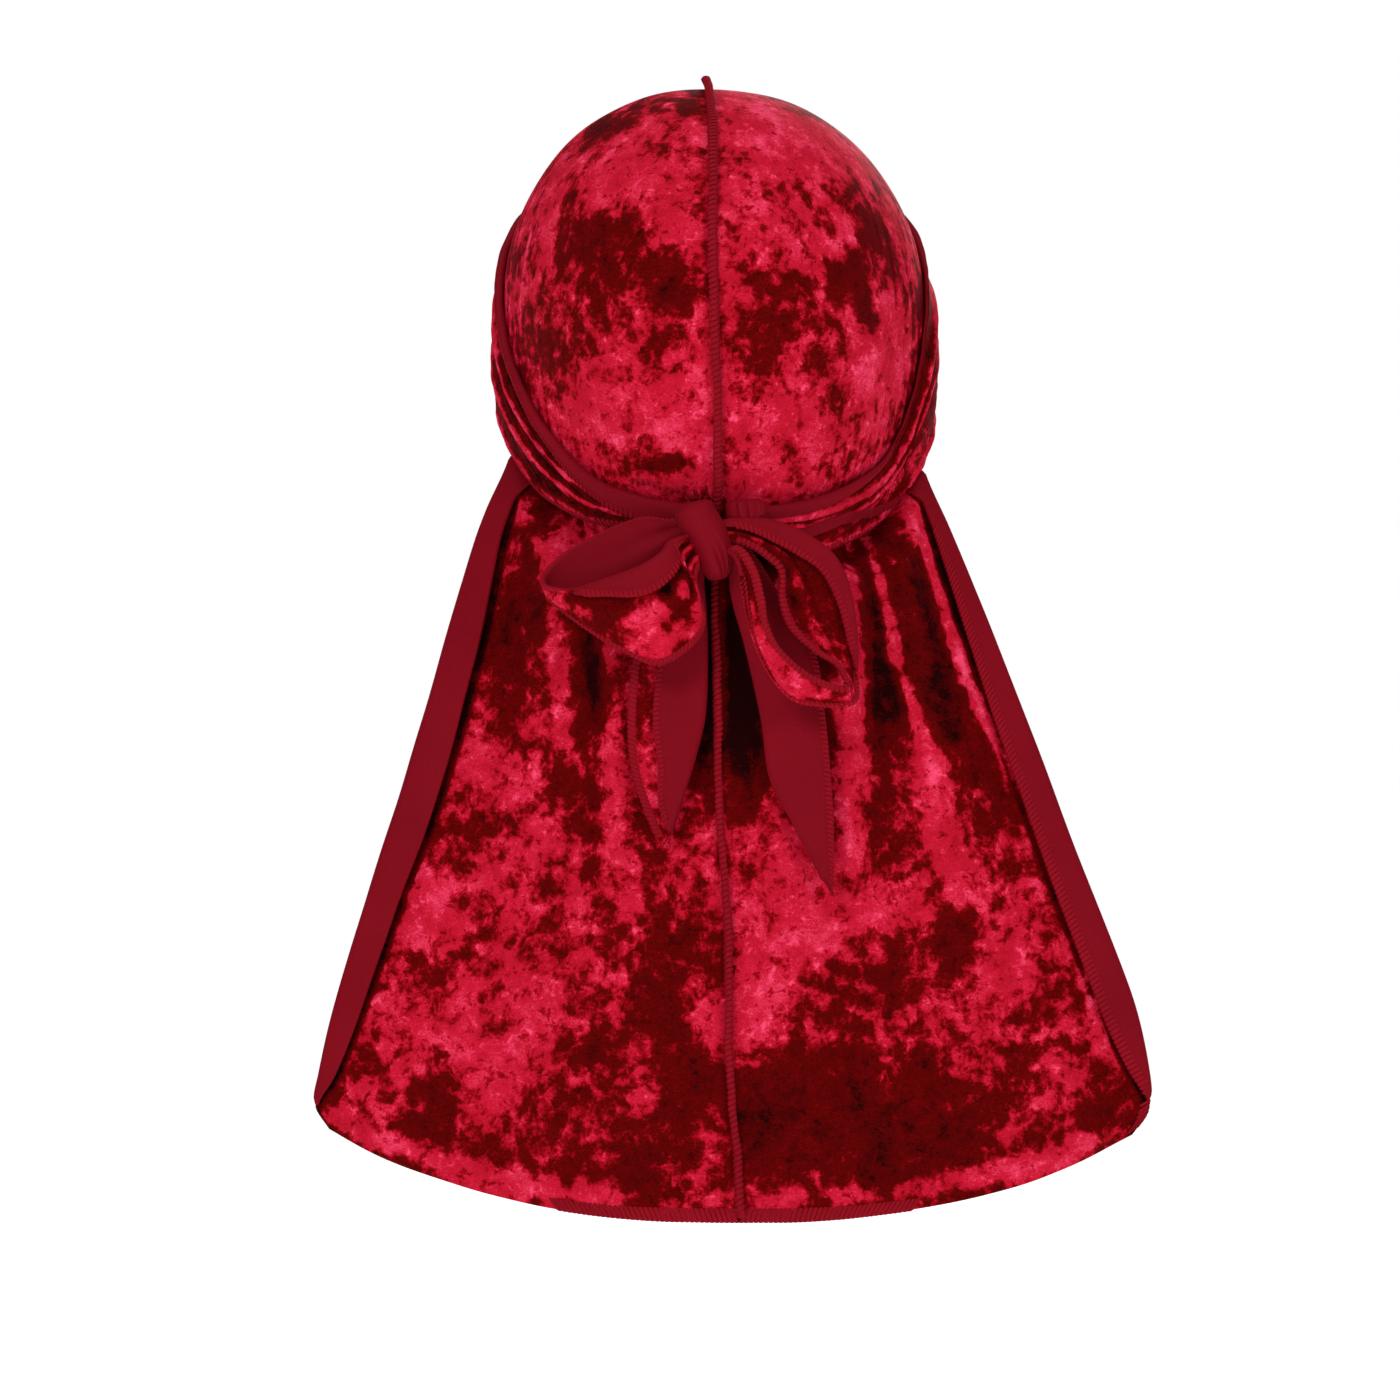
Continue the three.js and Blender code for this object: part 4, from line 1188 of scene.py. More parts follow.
@dataclass
class Crown:
    """The two panels over the head, with their raised centre seam."""

    around: int = 150
    down: int = 120
    flat: tuple[float, float] = (0.19, 0.26)
    flat_area: float = 0.034
    uneven: float = 0.22
    ripple: float = 34.0
    hidden_rows: int = 5  # rows of cloth past the rim
    margin: float = 1.5  # how far they are tucked in
    tuck_from: float = 0.995  # shares of the way from the crown's top to its rim
    tuck_slope: float = 60.0
    meet_from: float = 0.99
    meet_slope: float = 80.0
    nape_lap: float = 0.024  # the tuck starts this much later at the nape
    lap_until: float = 70.0
    lap_fade: float = 20.0
    side_creases: tuple[Creases, ...] = (
        Creases(0.28, 66, 17, -28, 40, ((1.0, 1.45, 0.0, 0.02), (0.6, 2.6, 1.3, -0.03)), -158.0),
        Creases(0.3, 44, 14, -100, 25, ((1.0, 1.9, 0.0, -0.04),)),
    )
    left_share: float = 0.7
    puckers: Creases = Creases(0.4, 0, 7, -140, 14, ((1.0, 1.7, 0.4, 0.0),))
    # Patches of the pile pattern. The two bright ones high on the right panel are a painted
    # highlight, and the thin dark one low on the left is a painted shadow above the nape seam.
    nap: Table = Table(("side", "azimuth", "height", "wide", "high", "nap"), (
        (-1, 32, -62, 16, 10, -1.5), (-1, 12, -80, 12, 12, -1.5), (-1, 45, -62, 7, 16, -1.0),
        (-1, 30, -82, 20, 12, -1.0), (-1, 58, -100, 10, 16, -0.9), (-1, 28, -128, 26, 12, 1.0),
        (-1, 17, -146, 14, 3.5, -1.8), (-1, 24, -38, 26, 12, 0.7), (-1, 30, -12, 22, 8, -0.8),
        (1, 25, -22, 30, 14, 2.8), (1, 14, -8, 24, 8, 2.2), (1, 48, -58, 12, 12, -0.9),
        (1, 36, -78, 16, 10, -0.8), (1, 18, -96, 20, 10, -1.0), (1, 22, -112, 16, 8, -0.8),
        (1, 50, -110, 16, 18, 1.3), (1, 28, -136, 24, 10, 0.2), (1, 44, -92, 8, 10, -1.1),
    ))
    degree: float = 1.5  # millimetres along the cloth for a degree of azimuth
    nape_low: float = -159.2
    nape_high: float = -150.4
    nape_reach: float = 27.0
    nape_stitches: Overlock = Overlock(pitch=2.2, band=2.4, thread=0.34)
    seam: RaisedSeam = RaisedSeam()
    seam_start: float = 0.45
    seam_rise: float = 1 / 16
    crest: float = 1.4
    crest_half: float = 0.5

    def panel(self, side: Side) -> Sheet:
        """Lay out one panel.

        Args:
            side: Which panel.

        Returns:
            The panel's sheet.
        """
        azimuth = side.value * math.pi * np.linspace(0, 1, self.around + 1)[None, :]
        degrees = np.degrees(np.abs(azimuth))
        shown = np.linspace(0, 1, self.down + 1)[:, None] * (1 + self.hidden_rows / self.down)
        polar = shown * HEAD.polar_at(HEAD.rim(azimuth))
        normal = HEAD.normal(azimuth, polar)
        lap = self.nape_lap * smooth((self.lap_until - degrees) / self.lap_fade)
        tucked = self.margin * smooth((shown - self.tuck_from - lap) * self.tuck_slope)
        points = HEAD.point(azimuth, polar) + normal * (CLOTH / 2 - tucked)[..., None]
        z = points[..., 2]
        creases = sum(band.at(degrees, z) for band in self.side_creases)
        height = self.uneven * Ripples(3, self.ripple, stretch=(1, 1, 0.6)).at(points)
        height = height + (creases if side is Side.RIGHT else self.left_share * creases)
        height = height + self.puckers.at(degrees, z)
        nap = self.pile_and_painted_shading(side, degrees, z)
        points = points + normal * height[..., None]
        apart = 1 - smooth((shown - self.meet_from) * self.meet_slope)
        points[..., 0] += side.value * PANEL_GAP * apart
        return Sheet(f"crown_panel_{side.word}", points, flip=side is Side.LEFT, nap=nap)

    def pile_and_painted_shading(self, side: Side, degrees: np.ndarray, z: np.ndarray) -> np.ndarray:
        """Large patches of the pile pattern, with a painted highlight high on the right and a
        painted shadow above the nape seam.

        Args:
            side: Which panel.
            degrees: Azimuths of the grid from the middle of the back.
            z: Heights of the grid.

        Returns:
            How far the pile lies, by grid point.
        """
        nap = np.zeros_like(z)
        for sign, azimuth, height, wide, high, value in self.nap.rows:
            if sign == side.value:
                around = bell(self.degree * (degrees - azimuth), wide)
                nap += value * around * bell(z - height, high)
        return nap

    def nape_seam(self) -> Sheet:
        """Lay out the edge of the cloth that is overlocked along the nape, left of the middle.

        Returns:
            The edge's sheet, from which only the stitches are made.
        """
        degrees = np.linspace(1.0, self.nape_reach, 60)[None, :]
        height = mix(self.nape_low, self.nape_high, degrees / self.nape_reach)
        height = height + wavy(degrees, (0.5, 0.7, 0.0))
        up = np.linspace(0.0, 3.0, 6)[:, None]
        points = HEAD.over(-np.radians(degrees), height + up, CLOTH + 0.3)
        return Sheet("nape_seam", points, flip=True)

    def centre_seam(self) -> Sheet:
        """Lay out the raised seam over the middle of the head.

        Returns:
            The seam's sheet.
        """
        start = -float(HEAD.polar_at(HEAD.rim(0.0) + 0.5))
        stop = float(HEAD.polar_at(HEAD.rim(math.pi) - 1))

        def turn(t: np.ndarray) -> tuple[np.ndarray, np.ndarray]:
            """Azimuth and polar angle at a place along the seam."""
            at = mix(start, stop, t)
            return np.where(at < 0, 0.0, math.pi), np.abs(at)

        def size(t: np.ndarray) -> np.ndarray:
            """Size of the seam, highest over the crest."""
            high = self.crest / self.seam.height * bell(mix(start, stop, t), self.crest_half)
            return mix(self.seam_start, 1.0, smooth(t / self.seam_rise)) + high

        return self.seam.sheet(
            "crown_seam_bound",
            lambda t: HEAD.point(*turn(t)) + HEAD.normal(*turn(t)) * SEAM_FOOT,
            lambda t: HEAD.normal(*turn(t)),
            size,
        )

    def build(self, finishes: Finishes) -> None:
        """Make the crown's pieces.

        Args:
            finishes: The durag's finishes.
        """
        for side in Side:
            piece = self.panel(side).build(finishes)
            dress(piece, Slot.VELVET, f"crown_{side.word}")
        sew(self.nape_stitches, self.nape_seam(), [(Edge.TOP, 0.0, 1.0)], finishes)
        self.seam.build(self.centre_seam(), "crown_seam", finishes)


# ---------------------------------------------------------------- straps
STRAP_COLUMNS = ("azimuth", "upper", "lower", "lift", "flare", "turn")
# A fold's place across the strap, its height, its half width and the strength of its painted
# highlight.
FOLD_COLUMNS = ("across", "height", "half", "painted_shine")
BARE_COLUMNS = ("azimuth", "centre", "half")


@dataclass
class Strap:
    """One strap, from the crown's front hem round the side of the head to the knot."""

    side: Side
    table: Table
    folds: Table
    bare: Table
    nap: float
    edges: Edges
    flat: tuple[float, float] = (0.06, 0.22)
    lift: float = CLOTH + 0.9 + CLOTH / 2
    fold_radius: float = 1.2
    droop: float = 0.5
    room_from: float = 8.0  # width at which there is room for folds
    room_ease: float = 14.0
    front_from: float = 95.0  # azimuth from which the folds flatten
    front_ease: float = 30.0
    front_share: float = 0.4
    wrinkle: float = 0.3
    wrinkle_more: float = 0.5
    wrinkle_middle: float = 48.0
    wrinkle_reach: float = 24.0
    groove: float = 0.9  # depth of the bare strip
    # Width of the painted highlight lines along the fold ridges, and the azimuth past which the
    # strap's painted shading and darker pile fade out.
    painted_shine_half: float = 0.9
    painted_shading_until: float = 68.0
    painted_shading_fade: float = 26.0
    ripple: float = 0.14
    deepest: float = -0.1
    middle: tuple[float, float, float] = (0.0, 0.0, -110.0)
    stitches: Overlock = Overlock(pitch=2.2, band=2.8, thread=0.32, spread=2.2)
    along: int = 190
    web: int = 44

    def stations(self) -> np.ndarray:
        """Azimuths in degrees, spaced evenly along the two edges.

        Returns:
            The azimuths of the cross profiles.
        """
        key = self.table.column("azimuth")
        degrees = np.linspace(key[0], key[-1], 600)
        run = sum(
            run_lengths(HEAD.over(
                np.radians(degrees), self.table.read(c, degrees, "azimuth"), self.lift))
            for c in ("upper", "lower"))
        return np.interp(np.linspace(0, run[-1], self.along + 1), run, degrees)

    def row(self, degrees: float) -> tuple[np.ndarray, np.ndarray, np.ndarray]:
        """Lay out one cross profile.

        Args:
            degrees: Azimuth of the profile.

        Returns:
            Its places, its pile tone with painted highlights along the fold ridges, and where it is
            bare.
        """
        upper, lower, lift, flare, turn = (
            float(self.table.read(c, degrees, "azimuth")) for c in STRAP_COLUMNS[1:])
        centre, half = (float(self.bare.read(c, degrees, "azimuth")) for c in BARE_COLUMNS[1:])
        azimuth = self.side.value * math.radians(degrees)

        def over(t: np.ndarray, height: Numbers) -> np.ndarray:
            """Place at a part of the width and a height over the strap."""
            stand = mix(lift, flare, smooth(t))
            return HEAD.over(azimuth, mix(upper, lower, t), self.lift + height, stand)

        width = run_lengths(over(np.linspace(0, 1, 25), 0.0))[-1]
        room = float(smooth((width - self.room_from) / self.room_ease)) * mix(
            1.0, self.front_share, float(smooth((degrees - self.front_from) / self.front_ease)))
        wrinkled = room * (self.wrinkle + self.wrinkle_more * float(
            bell(degrees - self.wrinkle_middle, self.wrinkle_reach)))

        def out(w: np.ndarray) -> np.ndarray:
            """Height of the web with its lengthwise folds.

            Args:
                w: Places across the web.

            Returns:
                Heights over the strap's form.
            """
            height = np.zeros_like(w)
            for across, high, fold_half, _ in self.folds.rows:
                height += high * room * bell(w - across * width, fold_half)
            if half > 0.01:
                height -= self.groove * bell((w / width - centre) / half, 1.0)
            fine = wavy(w, (0.42, 1.45, 0.03 * degrees), (0.3, 2.4, -0.05 * degrees))
            return height + wrinkled * fine * within(w, 3, width, 4, 4)

        turned = Turn(self.fold_radius, turn, arc=6, strip=5)
        across, height = profile(width, self.web, out, self.droop, first=turned).T
        # Painted highlight lines along the fold ridges over the strap's darker pile, both faded out
        # towards the front of the head.
        painted_shine = sum(bright * bell(across - at * width, self.painted_shine_half)
                    for at, _, _, bright in self.folds.rows)
        nap = (self.nap + painted_shine) * (1 - smooth((degrees - self.painted_shading_until) / self.painted_shading_fade))
        return over(across / width, height), nap, np.abs(across / width - centre) < half

    def sheet(self) -> Sheet:
        """Lay out the strap.

        Returns:
            The strap's sheet.
        """
        points, nap, bare = (np.array(part) for part in zip(*map(self.row, self.stations())))
        ripple = Ripples(11 + self.side.value, 13.0, stretch=(0.5, 0.5, 1.6))
        nudge = np.maximum(self.ripple * ripple.at(points), self.deepest)
        points = points + unit(points - np.array(self.middle)) * nudge[..., None]
        name = f"strap_band_{self.side.word}"
        return Sheet(name, points, flip=self.side is Side.RIGHT, nap=nap, bare=bare)

    def build(self, finishes: Finishes) -> None:
        """Make the strap and its overlocked edges.

        Args:
            finishes: The durag's finishes.
        """
        sheet = self.sheet()
        piece = sheet.build(finishes)
        dress(piece, Slot.VELVET, f"strap_{self.side.word}")
        sew(self.stitches, sheet, self.edges, finishes)


def straps() -> list[Strap]:
    """Both straps with their sizes.

    Returns:
        The left strap and the right one.
    """
    front = ((120, -40, -94, 0, 0, 2), (135, -44, -83, 0, 0, 2), (150, -56, -74, 0, 0, 2),
             (160, -63, -69.5, 0, 0, 2))
    left = Strap(
        Side.LEFT,
        table=Table(STRAP_COLUMNS, (
            (8, -159.5, -167, 8, 7.4, 5), (14, -158, -167.6, 2, 5.5, 7),
            (23, -155.8, -167.8, 0.4, 5.5, 8), (39, -148, -165, 0, 3.8, 6.6),
            (53, -130.5, -159.5, 0, 3.2, 4.4), (63, -112.5, -153.5, 0, 3.4, 3.2),
            (73, -92.5, -142.5, 0, 3.4, 2.6), (82, -74, -130, 0, 3, 2.3),
            (92, -56, -118.5, 0, 1, 2), (105, -43, -106, 0, 0, 2), *front)),
        folds=Table(FOLD_COLUMNS, (
            (0.34, 1.9, 2.6, 2.2), (0.6, 1.7, 2.8, 3.0), (0.9, 1.2, 2.2, 1.0))),
        bare=Table(BARE_COLUMNS, ((8, 0.9, 0.0), (160, 0.9, 0.0))),
        nap=-1.5,
        edges=[(Edge.LAST, 0.02, 0.97), (Edge.FIRST, 0.05, 0.5)],
    )
    right = Strap(
        Side.RIGHT,
        table=Table(STRAP_COLUMNS, (
            (5.5, -160, -169, 5, 4, 2), (12, -159.7, -173, 2, 9, 3.4),
            (20, -159, -175.5, 1, 12, 3.8), (32, -156, -175.5, 1, 10, 3.8),
            (46, -149.5, -171, 0.8, 7, 2.4), (58, -139, -166, 0.6, 5, 1.4),
            (65, -121, -161.5, 0.5, 4.4, 1.2), (72, -92, -151, 0.4, 5.5, 1.2),
            (82, -70, -135, 0.2, 4.6, 1.4), (92, -55, -124, 0, 1.6, 2),
            (105, -43, -107, 0, 0, 2), *front)),
        folds=Table(FOLD_COLUMNS, (
            (0.28, 2.0, 2.6, 1.4), (0.5, 0.9, 1.6, 0.6), (0.92, 1.7, 2.2, 0.6))),
        bare=Table(BARE_COLUMNS, (
            (12, 0.68, 0.1), (20, 0.665, 0.135), (37, 0.56, 0.15), (50, 0.66, 0.11),
            (58, 0.78, 0.08), (68, 0.93, 0.03), (76, 1.0, 0.0), (160, 1.0, 0.0))),
        nap=-0.7,
        edges=[(Edge.LAST, 0.02, 0.97)],
    )
    return [left, right]


# ---------------------------------------------------------------- tail
MIDDLE = Table(("z", "x", "y"), (
    (-164, 0, -77.4), (-173, 0, -79.6), (-190, 0, -81.5), (-235, 0.2, -84.5), (-300, 3.2, -89),
    (-370, 6.1, -94.5), (-421.5, 8.4, -99),
))
EDGE_COLUMNS = ("z", "x", "y")
PLEAT_COLUMNS = ("top", "hem", "height", "half", "fades")
TURN_COLUMNS = ("z", "width", "radius")
PATCH_COLUMNS = ("x", "z", "wide", "high", "nap")
PAINTED_STREAK_COLUMNS = ("top_x", "top_z", "low_x", "low_z", "wide", "nap")


@dataclass
class TailPanel:
    """One half of the tail, gathered at the nape, with its side edge turned towards the back.

    A place on the panel is q, from the middle, 0, to the side edge, 1, and t, from the nape, 0,
    to the hem, 1.
    """

    side: Side
    edge: Table
    pleats: Table
    turn: Table
    patches: Table
    painted_fold_streaks: Table
    strap: Table
    edges: Edges
    reach: float = 78.0  # azimuth at which the side edge leaves the crown
    nape_lap: float = 4.0  # how far the cloth runs up under the crown
    nape_tuck: float = 1.6
    hem_sag: float = 2.6
    roundness: float = 1.6
    opens: float = 0.45
    swing_middle: float = 8.0
    swing_edge: float = 5.0
    swing_between: float = 24.0
    held_depth: float = -180.0
    flare_middle: float = 3.0
    flare_ease: float = 9.0
    flare_until: float = 42.0
    flare_fade: float = 22.0
    gathers: tuple[float, float, float, float] = (0.5, 58.0, 2.0, 9.0)
    gathers_middle: float = 8.0
    gathers_reach: float = 16.0
    wave: float = 1.6
    wave_turns: float = 9.4
    roll: float = 1.5
    roll_middle: float = 7.0
    roll_half: float = 4.5
    drop: float = 240.0  # free length of the cloth
    crumple: float = 0.45
    lean: float = 0.35
    painted_fold_shadow: float = -2.4  # painted shadow on the velvet where the turned strip lies over it
    painted_fold_shadow_half: float = 1.3
    painted_streak_end: float = 7.0
    stitches: Overlock = Overlock(pitch=1.8, band=4.4, thread=0.28, spread=2.8)
    rows: int = 198
    hidden_rows: int = 12
    across: int = 200
    web: int = 170
    flat: tuple[float, float] = (0.20, 0.30)
    flat_share: float = 0.75  # share of the flat rectangle that the cut fills

    def azimuth(self, q: Numbers) -> Numbers:
        """Azimuth of the crown's rim over a place, on the right."""
        return np.radians(q * self.reach)

    def height(self, q: np.ndarray, t: np.ndarray) -> np.ndarray:
        """Height of the cloth.

        Args:
            q: Place across the panel.
            t: Place down it.

        Returns:
            Heights in millimetres.
        """
        low, side = MIDDLE.rows[-1][0], self.edge.rows[-1][0]
        hem = mix(low, side, q ** self.hem_sag)
        return mix(HEAD.rim(self.azimuth(q)) + self.nape_lap, hem, t)

    def cinch(self, q: np.ndarray) -> np.ndarray:
        """Height at which the strap lets go of the cloth."""
        lower = self.strap.read("lower", q * self.reach, "azimuth")
        return np.minimum(lower, HEAD.rim(self.azimuth(q)) - 3)

    def free(self, q: np.ndarray, t: np.ndarray) -> np.ndarray:
        """Place of the cloth where it hangs free.

        Args:
            q: Place across the panel.
            t: Place down it.

        Returns:
            Places along the last axis.
        """
        sign = self.side.value
        z_middle, z_edge = self.height(np.zeros_like(q), t), self.height(np.ones_like(q), t)

        def on_rim(at: np.ndarray) -> np.ndarray:
            """Place on the crown's rim."""
            azimuth = sign * self.azimuth(at)
            return HEAD.over(azimuth, HEAD.rim(azimuth), CLOTH / 2)

        rim, rim_middle, rim_edge = (on_rim(at) for at in (q, np.zeros_like(q), np.ones_like(q)))
        opened = smooth(t / self.opens)
        across_x = mix(rim[..., 0] / rim_edge[..., 0], q, opened)
        share = (rim[..., 1] - rim_middle[..., 1]) / (rim_edge[..., 1] - rim_middle[..., 1])
        across_y = mix(share, q ** self.roundness, opened)
        middle_x = MIDDLE.read("x", z_middle, "z") + sign * PANEL_GAP
        return np.stack([
            mix(middle_x, self.edge.read("x", z_edge, "z"), across_x),
            mix(MIDDLE.read("y", z_middle, "z"), self.edge.read("y", z_edge, "z"), across_y),
            self.height(q, t),
        ], -1)

    def held(self, q: np.ndarray, z: np.ndarray) -> np.ndarray:
        """Place of the cloth where the strap holds it to the head.

        Args:
            q: Place across the panel.
            z: Height.

        Returns:
            Places along the last axis.
        """
        degrees = q * self.reach
        azimuth = self.side.value * self.azimuth(q)
        flare = mix(self.flare_middle, self.strap.read("flare", degrees, "azimuth"),
                    smooth(degrees / self.flare_ease))
        flare = flare * (1 - smooth((degrees - self.flare_until) / self.flare_fade))
        rim = HEAD.rim(azimuth)
        swell = flare * smooth((rim - z) / (rim - self.cinch(q)))
        under = smooth((z - rim + 2.5) / 3)
        lift = CLOTH / 2 - self.nape_tuck * under
        made = HEAD.over(azimuth, np.maximum(z, self.held_depth), lift, swell)
        made[..., 2] = z
        made[..., 0] += self.side.value * PANEL_GAP * (1 - q) * (1 - under)
        return made

    def rise(self, q: np.ndarray, t: np.ndarray, below: np.ndarray) -> np.ndarray:
        """How far pleats, gathers, the wave of the cloth and the rolled hem stand out.

        Args:
            q: Place across the panel.
            t: Place down it.
            below: Distance under the strap.

        Returns:
            Heights in millimetres.
        """
        half_width = np.abs(self.edge.read("x", self.height(np.ones_like(q), t), "z"))
        room = smooth(q * half_width / 5) * smooth((1 - q) * 9)
        pleats = np.zeros_like(q)
        for top, hem, high, half, fades in self.pleats.rows:
            centre = mix(top, hem, np.sqrt(t))
            fade = smooth(below / 18) * (1 - smooth((t - 0.12) / fades))
            pleats += high * fade * bell((q - centre) * half_width, half * (1 + 1.6 * t))
        high, turns, swing, swing_turns = self.gathers
        gathers = high * np.sin(q * turns + swing * np.sin(q * swing_turns)) * smooth(below / 4)
        gathers = gathers * bell(below - self.gathers_middle, self.gathers_reach)
        wave = self.wave * np.sin(q * self.wave_turns + self.side.value) * smooth((t - 0.3) / 0.5)
        roll = self.roll * bell((1 - t) * self.drop - self.roll_middle, self.roll_half)
        return ((pleats + gathers) * room + wave * within(q, 0, 1, 1 / 6, 1 / 5)
                + roll * within(q, 0.12, 1, 1 / 5, 1 / 6))

    def place(self, q: np.ndarray, t: np.ndarray) -> np.ndarray:
        """Place on the middle of the cloth's thickness.

        Args:
            q: Place across the panel.
            t: Place down it.

        Returns:
            Places along the last axis.
        """
        q, t = np.broadcast_arrays(q, t)
        z = self.height(q, t)
        below = self.cinch(q) - z
        swing = mix(mix(self.swing_middle, self.swing_edge, q), self.swing_between,
                    np.sin(math.pi * q))
        point = mix(self.held(q, z), self.free(q, t), smooth(below / swing)[..., None])
        lean = np.stack([self.side.value * self.lean * q, -np.ones_like(q), np.zeros_like(q)], -1)
        crumple = self.crumple * Ripples(21, 30.0, stretch=(1, 0.4, 0.7)).at(point)
        crumple = crumple * smooth(below / 30) * smooth(q * 20)
        return point + unit(lean) * (self.rise(q, t, below) + crumple)[..., None]

    def sheet(self) -> Sheet:
        """Lay out the panel with its turned side edge.

        Returns:
            The panel's sheet.
        """
        q = np.linspace(0, 1, self.across + 1)[None, :]
        top, hem = self.height(q, np.zeros_like(q)), self.height(q, np.ones_like(q))
        held = (top - (self.cinch(q) - 1)) / (top - hem)
        hidden = np.linspace(0, 1, self.hidden_rows + 1)[:-1, None] * held
        down = np.linspace(0, 1, self.rows + 1)[:, None]
        t = np.concatenate([hidden, mix(held, 1.0, mix(down, down * down, 0.3))])
        rows, painted_shades = [], []
        for line in self.place(q, t):
            run = run_lengths(line)
            z = line[-1, 2]
            width, radius = (float(self.turn.read(c, z, "z")) for c in TURN_COLUMNS[1:])
            turned = Turn(radius, width, arc=8, strip=12)
            shape = profile(run[-1], self.web, np.zeros_like, 0.35 * radius, last=turned)
            slope = between(shape[:, 0], run, np.gradient(line, run, axis=0))
            slope[:, 2] = 0
            slope = unit(slope)
            outward = self.side.value * np.stack([slope[:, 1], -slope[:, 0], slope[:, 2]], 1)
            rows.append(between(shape[:, 0], run, line) + outward * shape[:, 1:])
            # Painted shadow on the velvet along the free edge of the turned strip.
            inside = np.maximum(0, run[-1] - width - shape[:, 0])
            painted_shades.append(self.painted_fold_shadow * bell(inside, self.painted_fold_shadow_half))
        points = np.array(rows)
        return Sheet(f"tail_cloth_{self.side.word}", points, flip=self.side is Side.LEFT,
                     nap=self.pile_and_painted_shading(points) + np.array(painted_shades))

    def pile_and_painted_shading(self, points: np.ndarray) -> np.ndarray:
        """Patches of the pile pattern with painted shadow under the bow and the strap, and painted
        highlights and shade along the folds.

        Args:
            points: Places of the grid.

        Returns:
            How far the pile lies, by grid point.
        """
        nap = np.zeros(points.shape[:2])
        x, z = points[..., 0], points[..., 2]
        for at_x, at_z, wide, high, value in self.patches.rows:
            nap += value * bell(x - at_x, wide) * bell(z - at_z, high)
        for top_x, top_z, low_x, low_z, wide, value in self.painted_fold_streaks.rows:
            share = np.clip((z - top_z) / (low_z - top_z), 0, 1)
            past = np.maximum(0, np.maximum(z - top_z, low_z - z))
            nap += value * bell(x - mix(top_x, low_x, share), wide) * bell(past, self.painted_streak_end)
        return nap

    def build(self, finishes: Finishes) -> None:
        """Make the panel and its overlocked edges.

        Args:
            finishes: The durag's finishes.
        """
        sheet = self.sheet()
        piece = sheet.build(finishes)
        dress(piece, Slot.VELVET, f"tail_{self.side.word}")
        sew(self.stitches, sheet, self.edges, finishes)


